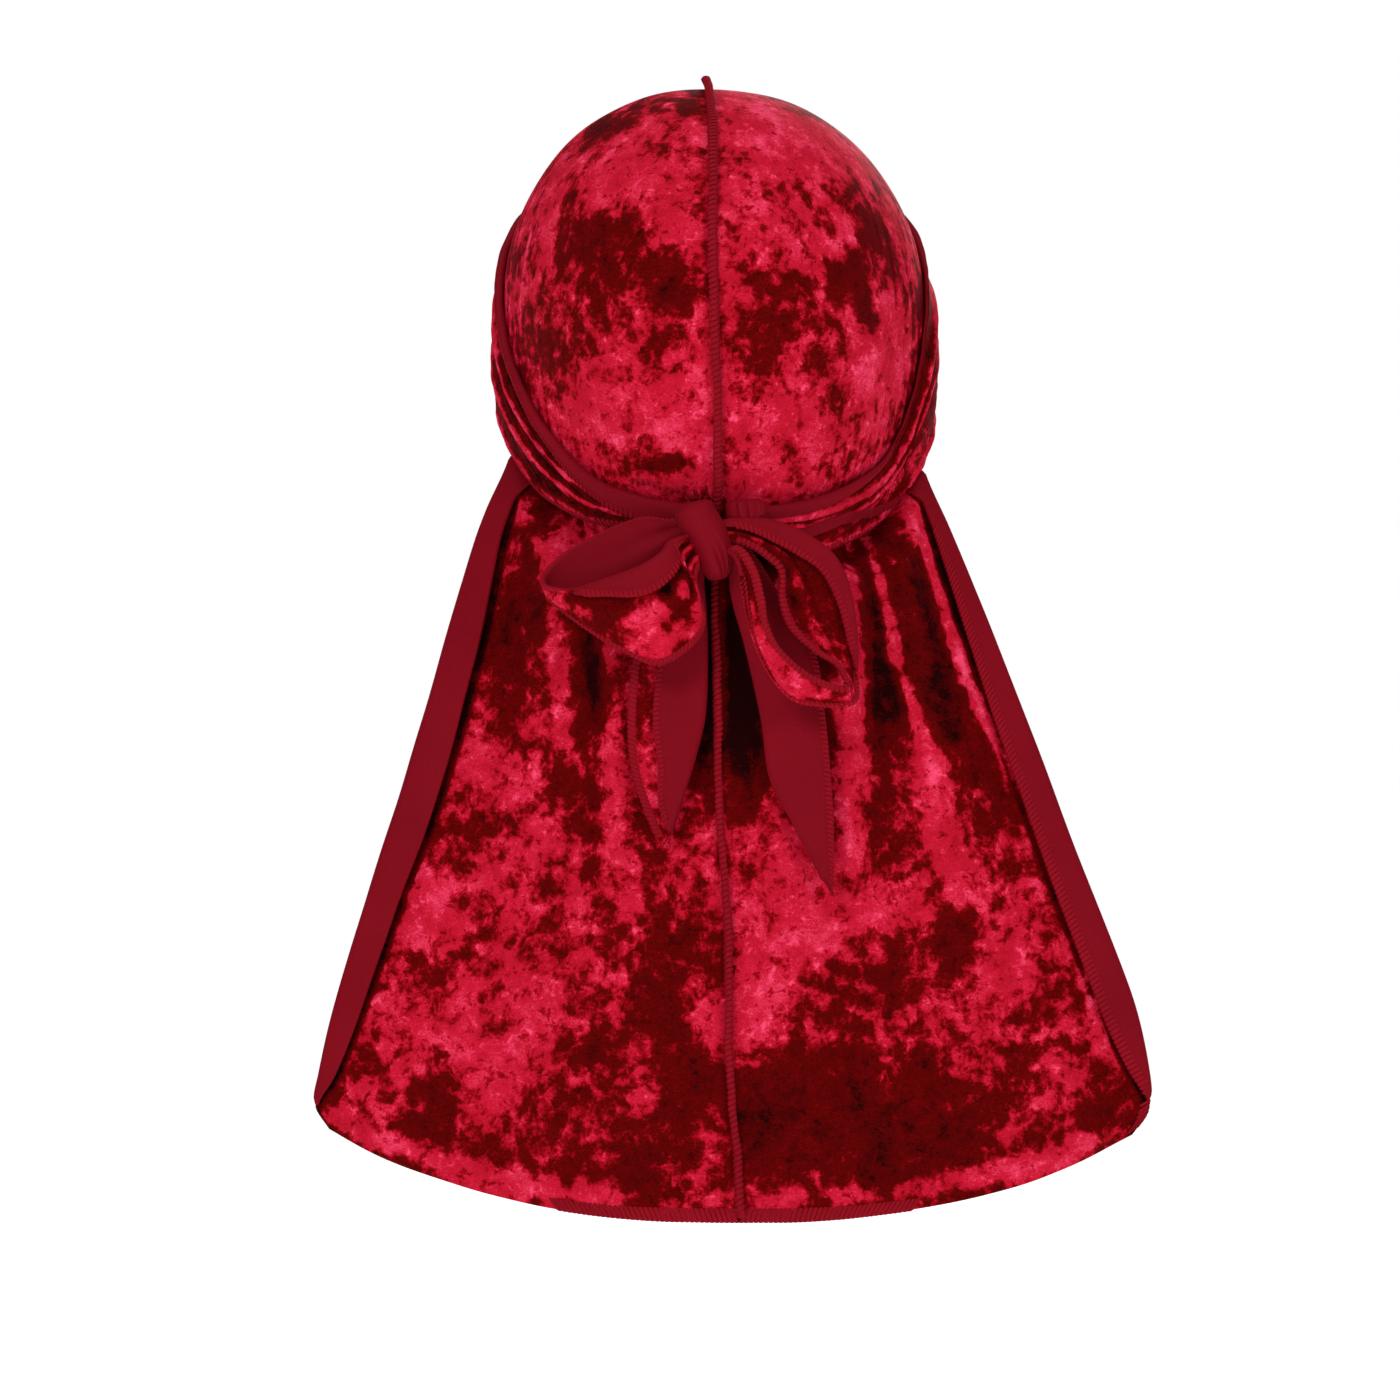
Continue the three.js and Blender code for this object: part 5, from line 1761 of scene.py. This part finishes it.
@dataclass
class Tail:
    """Both halves of the tail and the raised seam between them."""

    straps: list[Strap]
    seam: RaisedSeam = RaisedSeam(half=1.0, wander=0.25)
    seam_top: float = 0.03  # parts of the panel's edge between which the seam runs
    seam_low: float = 0.995
    size_top: float = 0.4
    size_low: float = 0.85

    def left(self) -> TailPanel:
        """The left panel with its sizes.

        Returns:
            The panel.
        """
        return TailPanel(
            Side.LEFT,
            edge=Table(EDGE_COLUMNS, (
                (-123, -74.6, -19), (-142, -76.6, -21), (-172, -86.4, -33), (-217, -100.5, -43),
                (-266, -115.2, -51), (-305, -127.8, -56), (-340, -138.5, -60), (-370, -146, -63),
                (-383, -148, -64), (-391, -143, -65.5))),
            pleats=Table(PLEAT_COLUMNS, (
                (0.1, 0.06, -3.5, 6, 0.4), (0.3, 0.1, 2.6, 4, 0.5), (0.39, 0.12, -2.6, 4.5, 0.5),
                (0.53, 0.26, 5, 4.5, 0.6), (0.65, 0.4, -3, 5, 0.5), (0.77, 0.6, 3, 4.5, 0.55))),
            turn=Table(TURN_COLUMNS, (
                (-123, 13, 0.8), (-140, 15.5, 0.9), (-160, 17.5, 2.2), (-264, 16, 2.5),
                (-301, 13.8, 2.3), (-338, 11.4, 2), (-366, 7.6, 1.6), (-384, 0.5, 1.2))),
            # Patches of the pile pattern; the strong narrow dark one under the bow and the broad
            # dark ones under the strap are painted shadow.
            patches=Table(PATCH_COLUMNS, (
                (-28, -252, 9, 7, -1.2), (-75, -262, 22, 16, 0.5), (-58, -270, 7, 9, -1.2),
                (-70, -310, 40, 22, 0.6), (-22, -348, 10, 8, -1.1), (-35, -365, 16, 10, -0.7),
                (-12, -372, 14, 22, -1.0), (-22, -395, 22, 14, -0.4), (-90, -360, 30, 16, 0.8),
                (-60, -214, 26, 30, -0.9), (-110, -372, 16, 10, -0.4), (-12, -280, 6, 18, -0.5),
                (-1, -215, 8, 36, -5.0), (-30, -190, 40, 16, -1.0))),
            # Lines of painted fold shading: bright ones are painted highlights on ridges, dark ones
            # painted shade in valleys.
            painted_fold_streaks=Table(PAINTED_STREAK_COLUMNS, (
                (-46, -160, -46, -172, 5, 1.6), (-64.7, -164.6, -79.2, -206.3, 4.5, -1.2),
                (-60.2, -198, -55.4, -248, 4.5, 1.3), (-65.5, -194, -63.5, -224, 3.5, -1.3),
                (-46.5, -206, -43.5, -240, 4, -1.6), (-31.5, -213, -31.5, -230, 4.5, 1.2),
                (-37, -230, -37, -242, 5, -1.0))),
            strap=self.straps[0].table,
            edges=[(Edge.BOTTOM, 0.0, 0.42)],
        )

    def right(self) -> TailPanel:
        """The right panel with its sizes.

        Returns:
            The panel.
        """
        return TailPanel(
            Side.RIGHT,
            edge=Table(EDGE_COLUMNS, (
                (-123, 74.6, -19), (-142, 76.6, -21), (-172, 86.4, -33), (-208, 101.2, -41),
                (-247, 116.8, -48), (-285, 131.2, -54), (-340, 152.2, -60), (-366, 159, -63),
                (-384, 160, -64), (-393, 154, -65.5))),
            pleats=Table(PLEAT_COLUMNS, (
                (0.12, 0.06, -3.5, 6, 0.4), (0.34, 0.14, 2.4, 4, 0.45), (0.52, 0.2, -2.6, 4.5, 0.5),
                (0.67, 0.28, 4.6, 4.5, 0.6), (0.79, 0.5, -3, 4.5, 0.55), (0.87, 0.66, 3, 4, 0.6))),
            turn=Table(TURN_COLUMNS, (
                (-123, 10, 0.8), (-146, 11, 0.9), (-166, 12.5, 2), (-203, 13.5, 2.4),
                (-238, 14, 2.5), (-338, 13.6, 2.2), (-362, 9, 1.6), (-382, 0.5, 1.2))),
            # Patches of the pile pattern; the strong narrow dark one under the bow and the broad
            # dark ones under the strap are painted shadow.
            patches=Table(PATCH_COLUMNS, (
                (30, -316, 20, 24, 0.8), (14, -340, 12, 18, 0.9), (52, -275, 7, 20, 0.7),
                (40, -262, 6, 18, -0.6), (70, -300, 12, 14, 0.3), (60, -385, 50, 22, -1.3),
                (18, -385, 14, 20, -1.3), (108, -330, 14, 22, 0.1), (110, -405, 40, 5, 1.4),
                (130, -370, 14, 10, 0.6), (10, -220, 9, 38, -5.5), (140, -385, 10, 6, -0.6),
                (40, -190, 46, 18, -0.8), (70, -220, 28, 36, -1.6))),
            # Lines of painted fold shading: bright ones are painted highlights on ridges, dark ones
            # painted shade in valleys.
            painted_fold_streaks=Table(PAINTED_STREAK_COLUMNS, (
                (50.5, -174.6, 52, -254.6, 4.8, 1.8), (57.5, -173, 60.6, -265.7, 4, -1.2),
                (57, -172, 66, -212, 2.8, 2.9), (66, -212, 80, -258, 3.4, 2.9),
                (80, -258, 87, -300, 4, 1.6), (71, -180, 88, -246, 5.5, -1.2),
                (71.5, -154, 91.4, -218, 2.8, 3.0), (91.4, -218, 125.5, -292, 3, 3.6),
                (125.5, -292, 143.5, -355, 3.2, 2.6))),
            strap=self.straps[1].table,
            edges=[(Edge.BOTTOM, 0.0, 0.42), (Edge.LAST, 0.18, 0.99)],
        )

    def centre_seam(self, panel: TailPanel) -> Sheet:
        """Lay out the raised seam down the middle of the tail.

        Args:
            panel: The right panel, whose edge the seam follows.

        Returns:
            The seam's sheet.
        """
        shift = np.array([-PANEL_GAP, CLOTH / 2 - SEAM_FOOT, 0.0])
        return self.seam.sheet(
            "tail_seam_bound",
            lambda t: panel.place(np.zeros_like(t), mix(self.seam_top, self.seam_low, t)) + shift,
            lambda t: np.tile(np.array([0.0, -1.0, 0.0]), (len(t), 1)),
            lambda t: mix(self.size_top, self.size_low, smooth(t * 6 - 0.4)),
        )

    def build(self, finishes: Finishes) -> None:
        """Make the tail's pieces.

        Args:
            finishes: The durag's finishes.
        """
        panels = [self.left(), self.right()]
        for panel in panels:
            panel.build(finishes)
        self.seam.build(self.centre_seam(panels[1]), "tail_seam", finishes)


# ---------------------------------------------------------------- bow
RIBBON_COLUMNS = ("ax", "ay", "az", "bx", "by", "bz", "belly", "turn")
CREASE_COLUMNS = ("across", "height", "half", "start", "stop")
PAINTED_SHADE_COLUMNS = ("along", "across", "long", "wide", "nap")
LAPEL = 1.7  # radius of the fold of a loosely turned edge
FOLD = 1.2  # radius of a pressed one


@dataclass
class Ribbon:
    """Length of strap in the bow: both long edges, its belly and its turned first edge."""

    name: str
    node: str
    table: Table
    radius: float
    flat: tuple[float, float]
    held: Held
    slot: Slot
    pleats: Table
    edges: Edges
    # Painted shade and highlight patches along and across the ribbon, and how strongly its folds
    # get painted shading.
    painted_shades: Table = Table(PAINTED_SHADE_COLUMNS, ())
    painted_fold_shading: float = 0.7
    droop: float = 0.3  # in radii of the turned edge
    ahead: float = 0.05  # step along the table from which the way of travel is read
    room: float = 3.0
    stitches: Overlock = Overlock(pitch=1.75, band=2.4, thread=0.36, lift=0.72, spread=2.25)
    along: int = 170
    web: int = 40

    def point(self, prefix: str, s: float) -> np.ndarray:
        """Place along one long edge."""
        return np.stack([self.table.read(prefix + axis, s) for axis in "xyz"], -1)

    def row(self, t: float) -> np.ndarray:
        """Lay out one cross profile.

        Args:
            t: Place along the ribbon, 0 to 1.

        Returns:
            The places of the profile.
        """
        last = len(self.table.rows) - 1
        s = t * last
        after, before = min(last, s + self.ahead), max(0, s - self.ahead)
        start, chord = self.point("a", s), self.point("b", s) - self.point("a", s)
        travel = sum(self.point(side, after) - self.point(side, before) for side in "ab")
        width = float(np.linalg.norm(chord))
        outward = unit(np.cross(chord, travel))
        radius = min(self.radius, width / 5)
        turned = Turn(radius, float(self.table.read("turn", s)), arc=6, strip=8)

        def out(w: np.ndarray) -> np.ndarray:
            """Height of the web with its pleats.

            Args:
                w: Places across the web.

            Returns:
                Heights over the flat ribbon.
            """
            height = np.zeros_like(w)
            for across, high, half, begins, ends in self.pleats.rows:
                fade = bell((t - (begins + ends) / 2) / max(ends - begins, 0.01), 0.6)
                height += high * fade * bell(w / width - across, half)
            return height * within(w, 0, width, self.room, self.room)

        across, height = profile(width, self.web, out, self.droop * radius, first=turned).T
        belly = float(self.table.read("belly", s))
        arch = belly * np.sin(math.pi * np.clip(across / width, 0, 1))
        return start + chord * (across / width)[:, None] + outward * (height + arch)[:, None]

    def sheet(self) -> Sheet:
        """Lay out the ribbon.

        Returns:
            The ribbon's sheet.
        """
        points = np.array([self.row(t) for t in np.linspace(0, 1, self.along + 1)])
        along, across = (np.linspace(0, 1, size) for size in points.shape[:2])
        nap = np.zeros(points.shape[:2])
        for at, over, long, wide, value in self.painted_shades.rows:
            nap += value * np.outer(bell(along - at, long), bell(across - over, wide))
        return Sheet(self.name, points, flip=True, nap=nap, painted_fold_shading=self.painted_fold_shading)

    def build(self, finishes: Finishes) -> None:
        """Make the ribbon and its overlocked edges.

        Args:
            finishes: The durag's finishes.
        """
        sheet = self.sheet()
        piece = sheet.build(finishes)
        dress(piece, self.slot, self.node)
        sew(self.stitches, sheet, self.edges, finishes)


@dataclass
class Wrap:
    """Rounded wrap of strap in the knot: its middle line, widths and creases from top to bottom."""

    name: str
    node: str
    line: Table
    depth: float
    back: float
    tilt: float
    creases: tuple[tuple[float, float, float, float], ...]  # top, bottom, depth, start
    flat: tuple[float, float]
    squareness: float = 4.0
    flatness: float = 0.85
    crease_half: float = 0.075
    lip: float = 0.55  # share of a crease's depth that the cloth beside it rises by
    lip_beside: float = 0.17
    lip_half: float = 0.1
    crease_fade: float = 0.3
    around: int = 128
    rings: int = 80

    def shaped(self, ball: np.ndarray) -> np.ndarray:
        """Bring the points of a unit ball to the wrap.

        Args:
            ball: Points of the ball.

        Returns:
            Places in millimetres.
        """
        down = np.clip((1 - ball[:, 2]) / 2, 0, 1)
        ring = np.maximum(np.hypot(ball[:, 0], ball[:, 1]), 1e-6)
        across, front = ball[:, 0] / ring, ball[:, 1] / ring
        full = (1 - np.abs(2 * down - 1) ** self.squareness) ** (1 / self.squareness)
        half = self.line.read("half", down, "down") * full
        thick = np.where(front < 0, self.depth, self.back) * full
        squared = np.sign(across) * np.abs(across) ** self.flatness
        pressed = np.zeros(len(ball))
        for at_top, at_bottom, deep, start in self.creases:
            beside = squared - mix(at_top, at_bottom, down)
            crease = bell(beside, self.crease_half)
            crease = crease - self.lip * bell(beside - self.lip_beside, self.lip_half)
            shown = smooth((down - start) / self.crease_fade) * np.maximum(0, -front)
            pressed += deep * crease * shown
        way = math.radians(self.tilt)
        x, y, z = (self.line.read(c, down, "down") for c in "xyz")
        return np.stack([
            x + squared * half * math.cos(way),
            y + front * (thick - pressed * full),
            z + squared * half * math.sin(way),
        ], 1)

    def build(self, finishes: Finishes) -> None:
        """Make the wrap.

        Args:
            finishes: The durag's finishes.
        """
        deselect()
        bpy.ops.mesh.primitive_uv_sphere_add(
            segments=self.around, ring_count=self.rings, radius=1.0)
        made = bpy.context.object
        made.name = made.data.name = self.name
        co = np.empty(len(made.data.vertices) * 3)
        made.data.vertices.foreach_get("co", co)
        made.data.vertices.foreach_set("co", (self.shaped(co.reshape(-1, 3)) * MM).ravel())
        made.data.update()
        bpy.ops.object.shade_smooth()
        made.data.materials.append(finishes.backing)
        dress(made, Slot.BACKING, self.node)


@dataclass
class Bow:
    """The knot behind the head with its two loops and two strap ends."""

    edges: Edges = field(
        default_factory=lambda: [(Edge.FIRST, 0.03, 0.97), (Edge.LAST, 0.03, 0.97)])

    def loops(self) -> list[Ribbon]:
        """Both loops with their sizes.

        Returns:
            The left loop and the right one.
        """
        left = Table(RIBBON_COLUMNS, (
            (-8, -91.5, -165, -6.5, -91.5, -174, 0, 1.5),
            (-17.6, -89.5, -166, -16, -89.5, -180, 0, 1.5),
            (-27.5, -89, -165.5, -26, -88.5, -194, -1, 1.5),
            (-42, -88.5, -171, -40.5, -87.5, -201, -1, 1.5),
            (-55, -89.5, -178.5, -52.5, -88.5, -199, 0, 1.5),
            (-62, -94, -186, -59.5, -93, -196, 1, 1.5),
            (-60, -100, -190.5, -57.5, -99, -198, 1.5, 1.5),
            (-50.5, -105, -191.5, -47, -102.5, -206, 3, 2),
            (-39.5, -108.5, -188.5, -34, -104.5, -214, 5, 5),
            (-28.5, -110, -184.5, -19.5, -105.5, -219, 6, 9),
            (-21, -107.5, -180, -5, -104.5, -207, 4.5, 8),
            (-17.4, -102, -175.5, -7.5, -102.6, -188.6, 1.5, 3.4),
            (-9.5, -97.5, -171.5, -4, -98, -180, 0.5, 1.5)))
        right = Table(RIBBON_COLUMNS, (
            (1.5, -92.5, -168.5, 3, -96.5, -174, 0, 3),
            (8.5, -92, -167.5, 11, -98, -176, 0, 5),
            (18.5, -90.5, -168, 18.5, -100, -180.5, -1, 8),
            (31.5, -89.5, -172.5, 23.5, -100.5, -186, -2, 8.5),
            (43, -89.5, -181, 23.5, -100.5, -196, -3, 7),
            (48.8, -90.5, -196, 27, -101, -206, -3, 5),
            (50.5, -92.5, -213, 36, -101.5, -214.5, -2, 3),
            (51, -97, -227, 44, -103, -219.5, 0, 1.5),
            (49, -103, -233.5, 46.5, -107.5, -227.5, 1, 1.5),
            (37, -106, -234, 34, -111, -223.5, 2.5, 1.5),
            (27, -106, -231, 23.5, -112.5, -214.5, 3, 1.5),
            (17.5, -105, -218, 18.5, -111.5, -205, 2, 1.5),
            (12, -104, -203, 17, -109, -196, 1, 1.5),
            (9.2, -103.5, -190, 14.5, -105.5, -186, 0, 1.5),
            (7.0, -102.5, -181, 9.8, -104, -178, 0, 1.5),
            (1.5, -97.5, -178, 3, -99, -175.5, 0, 1.2)))
        return [
            Ribbon("bow_ribbon_left", "bow_loop_left", left, LAPEL, (0.033, 0.124), Held.FOLDED,
                   Slot.VELVET,
                   Table(CREASE_COLUMNS, (
                       (0.3, -2.2, 0.07, 0.82, 1.12), (0.46, 1.4, 0.08, 0.78, 1.12),
                       (0.62, -2.4, 0.07, 0.8, 1.12), (0.8, 1.2, 0.08, 0.82, 1.1),
                       (0.5, -1.0, 0.12, 0.0, 0.2), (0.3, 0.8, 0.1, 0.0, 0.2))),
                   self.edges,
                   # Painted shade: two thin dark lines near the loop's end and broad darker areas
                   # inside it.
                   Table(PAINTED_SHADE_COLUMNS, (
                       (0.8, 0.45, 0.016, 0.22, -3.4), (0.865, 0.6, 0.016, 0.18, -3.2),
                       (0.62, 0.7, 0.07, 0.5, -0.6), (0.76, 0.6, 0.14, 0.9, -0.7)))),
            Ribbon("bow_ribbon_right", "bow_loop_right", right, LAPEL, (0.022, 0.160), Held.FOLDED,
                   Slot.VELVET,
                   Table(CREASE_COLUMNS, (
                       (0.45, -1.3, 0.08, 0.1, 0.34), (0.6, 1.2, 0.08, 0.05, 0.4),
                       (0.75, -1.2, 0.08, 0.15, 0.45), (0.5, 0.9, 0.1, 0.62, 0.85),
                       (0.3, -0.8, 0.1, 0.64, 0.9))),
                   self.edges,
                   # Painted shade near both ends of the loop, with a painted highlight across it
                   # between.
                   Table(PAINTED_SHADE_COLUMNS, (
                       (0.2, 0.6, 0.2, 0.6, -0.8), (0.66, 0.5, 0.05, 0.6, 0.8),
                       (0.85, 0.5, 0.1, 1.0, -1.2)))),
        ]

    def ends(self) -> list[Ribbon]:
        """Both loose strap ends with their sizes.

        Returns:
            The left end and the right one.
        """
        left = Table(RIBBON_COLUMNS, (
            (-1.5, -90, -178, -8, -89, -178, 0, 4),
            (-4.5, -86.5, -187, -18, -85, -187, 0, 9),
            (-3.6, -85, -201, -26, -82.5, -202, 0.5, 14),
            (-3.2, -86, -217, -30, -83, -219, 1, 17),
            (-4, -88, -238, -31.6, -84.5, -240, 1, 18),
            (-7.7, -89.5, -254, -30.3, -86.5, -258, 1, 12.5),
            (-11.6, -90.5, -267, -25, -88.5, -274, 0.5, 9),
            (-15.6, -91, -280, -19.5, -90, -286, 0, 1.5)))
        right = Table(RIBBON_COLUMNS, (
            (0.5, -93, -172, 6, -91, -172, 0, 1.5),
            (5, -93, -178, 14, -88, -180, -1, 1.5),
            (5.5, -91.5, -193, 24, -84.5, -196, -2, 1.5),
            (11, -88.5, -214, 36, -84, -216, -1, 1.5),
            (16.4, -88.5, -239, 39.4, -87, -239, -0.5, 1.5),
            (19.6, -90, -261, 41.5, -89.5, -262, 0, 1.5),
            (28, -92, -277, 42.4, -91.5, -281, 0, 1.5),
            (39, -93.5, -297, 42.6, -93.5, -303.5, 0, 1.2)))
        return [
            Ribbon("strap_tip_left", "strap_end_left", left, LAPEL, (0.036, 0.098), Held.FOLDED,
                   Slot.BACKING, Table(CREASE_COLUMNS, ((0.5, 0.5, 0.2, 0.2, 0.9),)), self.edges,
                   along=110),
            Ribbon("strap_tip_right", "strap_end_right", right, FOLD, (0.024, 0.125), Held.HUNG,
                   Slot.BACKING, Table(CREASE_COLUMNS, ((0.4, 0.8, 0.2, 0.0, 0.3),)),
                   [*self.edges, (Edge.BOTTOM, 0.0, 1.0)], along=120),
        ]

    def wraps(self) -> list[Wrap]:
        """The knot and the gathered strap that is tucked into it, with their sizes.

        Returns:
            The knot and the tuck.
        """
        line = ("down", "x", "y", "z", "half")
        knot = Table(line, (
            (0.0, -7.6, -94, -160, 7.6), (0.2, -7.4, -94.6, -164.5, 7.9),
            (0.45, -3.8, -94.8, -171.5, 8.0), (0.7, -0.8, -94.6, -179.5, 7.2),
            (0.9, 0.8, -94, -185.5, 5.8), (1.0, 1.2, -93.6, -188.5, 5.2)))
        tuck = Table(line, (
            (0.0, 10.4, -91.4, -159.2, 7.0), (0.5, 10.8, -91.4, -163, 7.2),
            (1.0, 11.0, -91.4, -167, 7.0)))
        return [
            Wrap("knot_wrap", "knot", knot, depth=9.4, back=8.0, tilt=14.0,
                 creases=((-0.5, 0.3, 1.3, 0.5), (0.05, 0.66, 1.0, 0.42)), flat=(0.034, 0.031)),
            Wrap("knot_tuck_wrap", "knot_tuck", tuck, depth=3.8, back=3.0, tilt=6.0,
                 creases=((-0.5, -0.42, 0.9, -0.3), (0.0, 0.12, 1.0, -0.3), (0.5, 0.56, 0.8, -0.3)),
                 flat=(0.016, 0.0105)),
        ]

    def build(self, finishes: Finishes) -> None:
        """Make the bow's pieces.

        Args:
            finishes: The durag's finishes.
        """
        for part in (*self.loops(), *self.ends(), *self.wraps()):
            part.build(finishes)


# ---------------------------------------------------------------- studio
@dataclass
class Studio:
    """Camera, soft lights, world and floor, in metres."""

    eye: tuple[float, float, float] = (-0.00576, -1.8, -0.23227)
    target: tuple[float, float, float] = (0.0, 0.0, -0.2)
    lens: float = 120.5
    sensor: float = 36.0
    farthest: float = 60.0
    floor: float = -0.62
    floor_size: float = 40.0
    floor_glow: float = 0.43
    ambient: float = 0.16

    def light(self, name: str, kind: Lamp, place: tuple[float, float, float], size: float,
              power: float) -> None:
        """Add a soft light that looks at the durag.

        Args:
            name: Name of the light.
            kind: Kind of light.
            place: Its place.
            size: Side of a softbox, or how wide the sky light looks in degrees.
            power: Watts, or the strength of the sky light.
        """
        lamp = bpy.data.lights.new(name, kind.value)
        if kind is Lamp.SKY:
            lamp.angle = math.radians(size)
        else:
            lamp.size = size
        lamp.energy = power
        made = bpy.data.objects.new(name, lamp)
        bpy.context.collection.objects.link(made)
        made.location = place
        way = np.array(self.target) - np.array(place)
        yaw = math.atan2(way[1], way[0]) - math.pi / 2
        pitch = math.atan2(way[2], math.hypot(way[0], way[1])) + math.pi / 2
        made.rotation_euler = (pitch, 0.0, yaw)

    def camera(self) -> None:
        """Add the camera, which looks straight along +Y."""
        lens = bpy.data.cameras.new("studio_camera")
        lens.lens = self.lens
        lens.sensor_width = self.sensor
        lens.clip_end = self.farthest
        camera = bpy.data.objects.new("studio_camera", lens)
        camera.location = self.eye
        camera.rotation_euler = (math.pi / 2, 0.0, 0.0)
        bpy.context.collection.objects.link(camera)
        bpy.context.scene.camera = camera

    def world(self) -> None:
        """Make a white world that lights the durag more softly than it shows."""
        world = bpy.data.worlds.new("pale_studio")
        world.use_nodes = True
        n = Nodes(world.node_tree)
        ray = n.add("ShaderNodeLightPath", "what the camera sees")
        strength = n.math(
            "MULTIPLY_ADD", ray.outputs["Is Camera Ray"], 1.0 - self.ambient, self.ambient)
        n.set(world.node_tree.nodes["Background"], Color=(1.0, 1.0, 1.0), Strength=strength)
        bpy.context.scene.world = world

    def ground(self) -> None:
        """Lay the pale floor."""
        deselect()
        bpy.ops.mesh.primitive_plane_add(size=self.floor_size, location=(0, 0, self.floor))
        floor = bpy.context.object
        floor.name = "studio_floor"
        pale, _, _ = new_finish(
            "pale_floor", Base_Color=(0.95, 0.95, 0.95), Roughness=0.9,
            Emission_Color=(1.0, 1.0, 1.0), Emission_Strength=self.floor_glow)
        floor.data.materials.append(pale)

    def build(self) -> None:
        """Make the studio."""
        self.camera()
        self.world()
        bpy.context.scene.view_settings.view_transform = "Standard"
        self.light("key_softbox", Lamp.SOFTBOX, (-0.75, -1.7, 0.75), size=0.6, power=15.0)
        self.light("fill_softbox", Lamp.SOFTBOX, (1.1, -1.7, 0.35), size=0.7, power=9.0)
        self.light("back_softbox", Lamp.SOFTBOX, (0.5, 1.8, 0.6), size=1.0, power=10.0)
        self.light("overhead", Lamp.SKY, (0.05, -0.1, 2.0), size=50.0, power=1.5)
        self.ground()


def main() -> None:
    """Build the studio and then the durag, piece by piece."""
    logging.basicConfig(level=logging.INFO, format="%(name)s: %(message)s")
    Studio().build()
    finishes = Finishes()
    bands = straps()
    for part in (Crown(), *bands, Tail(bands), Bow()):
        part.build(finishes)


if __name__ == "__main__":
    main()
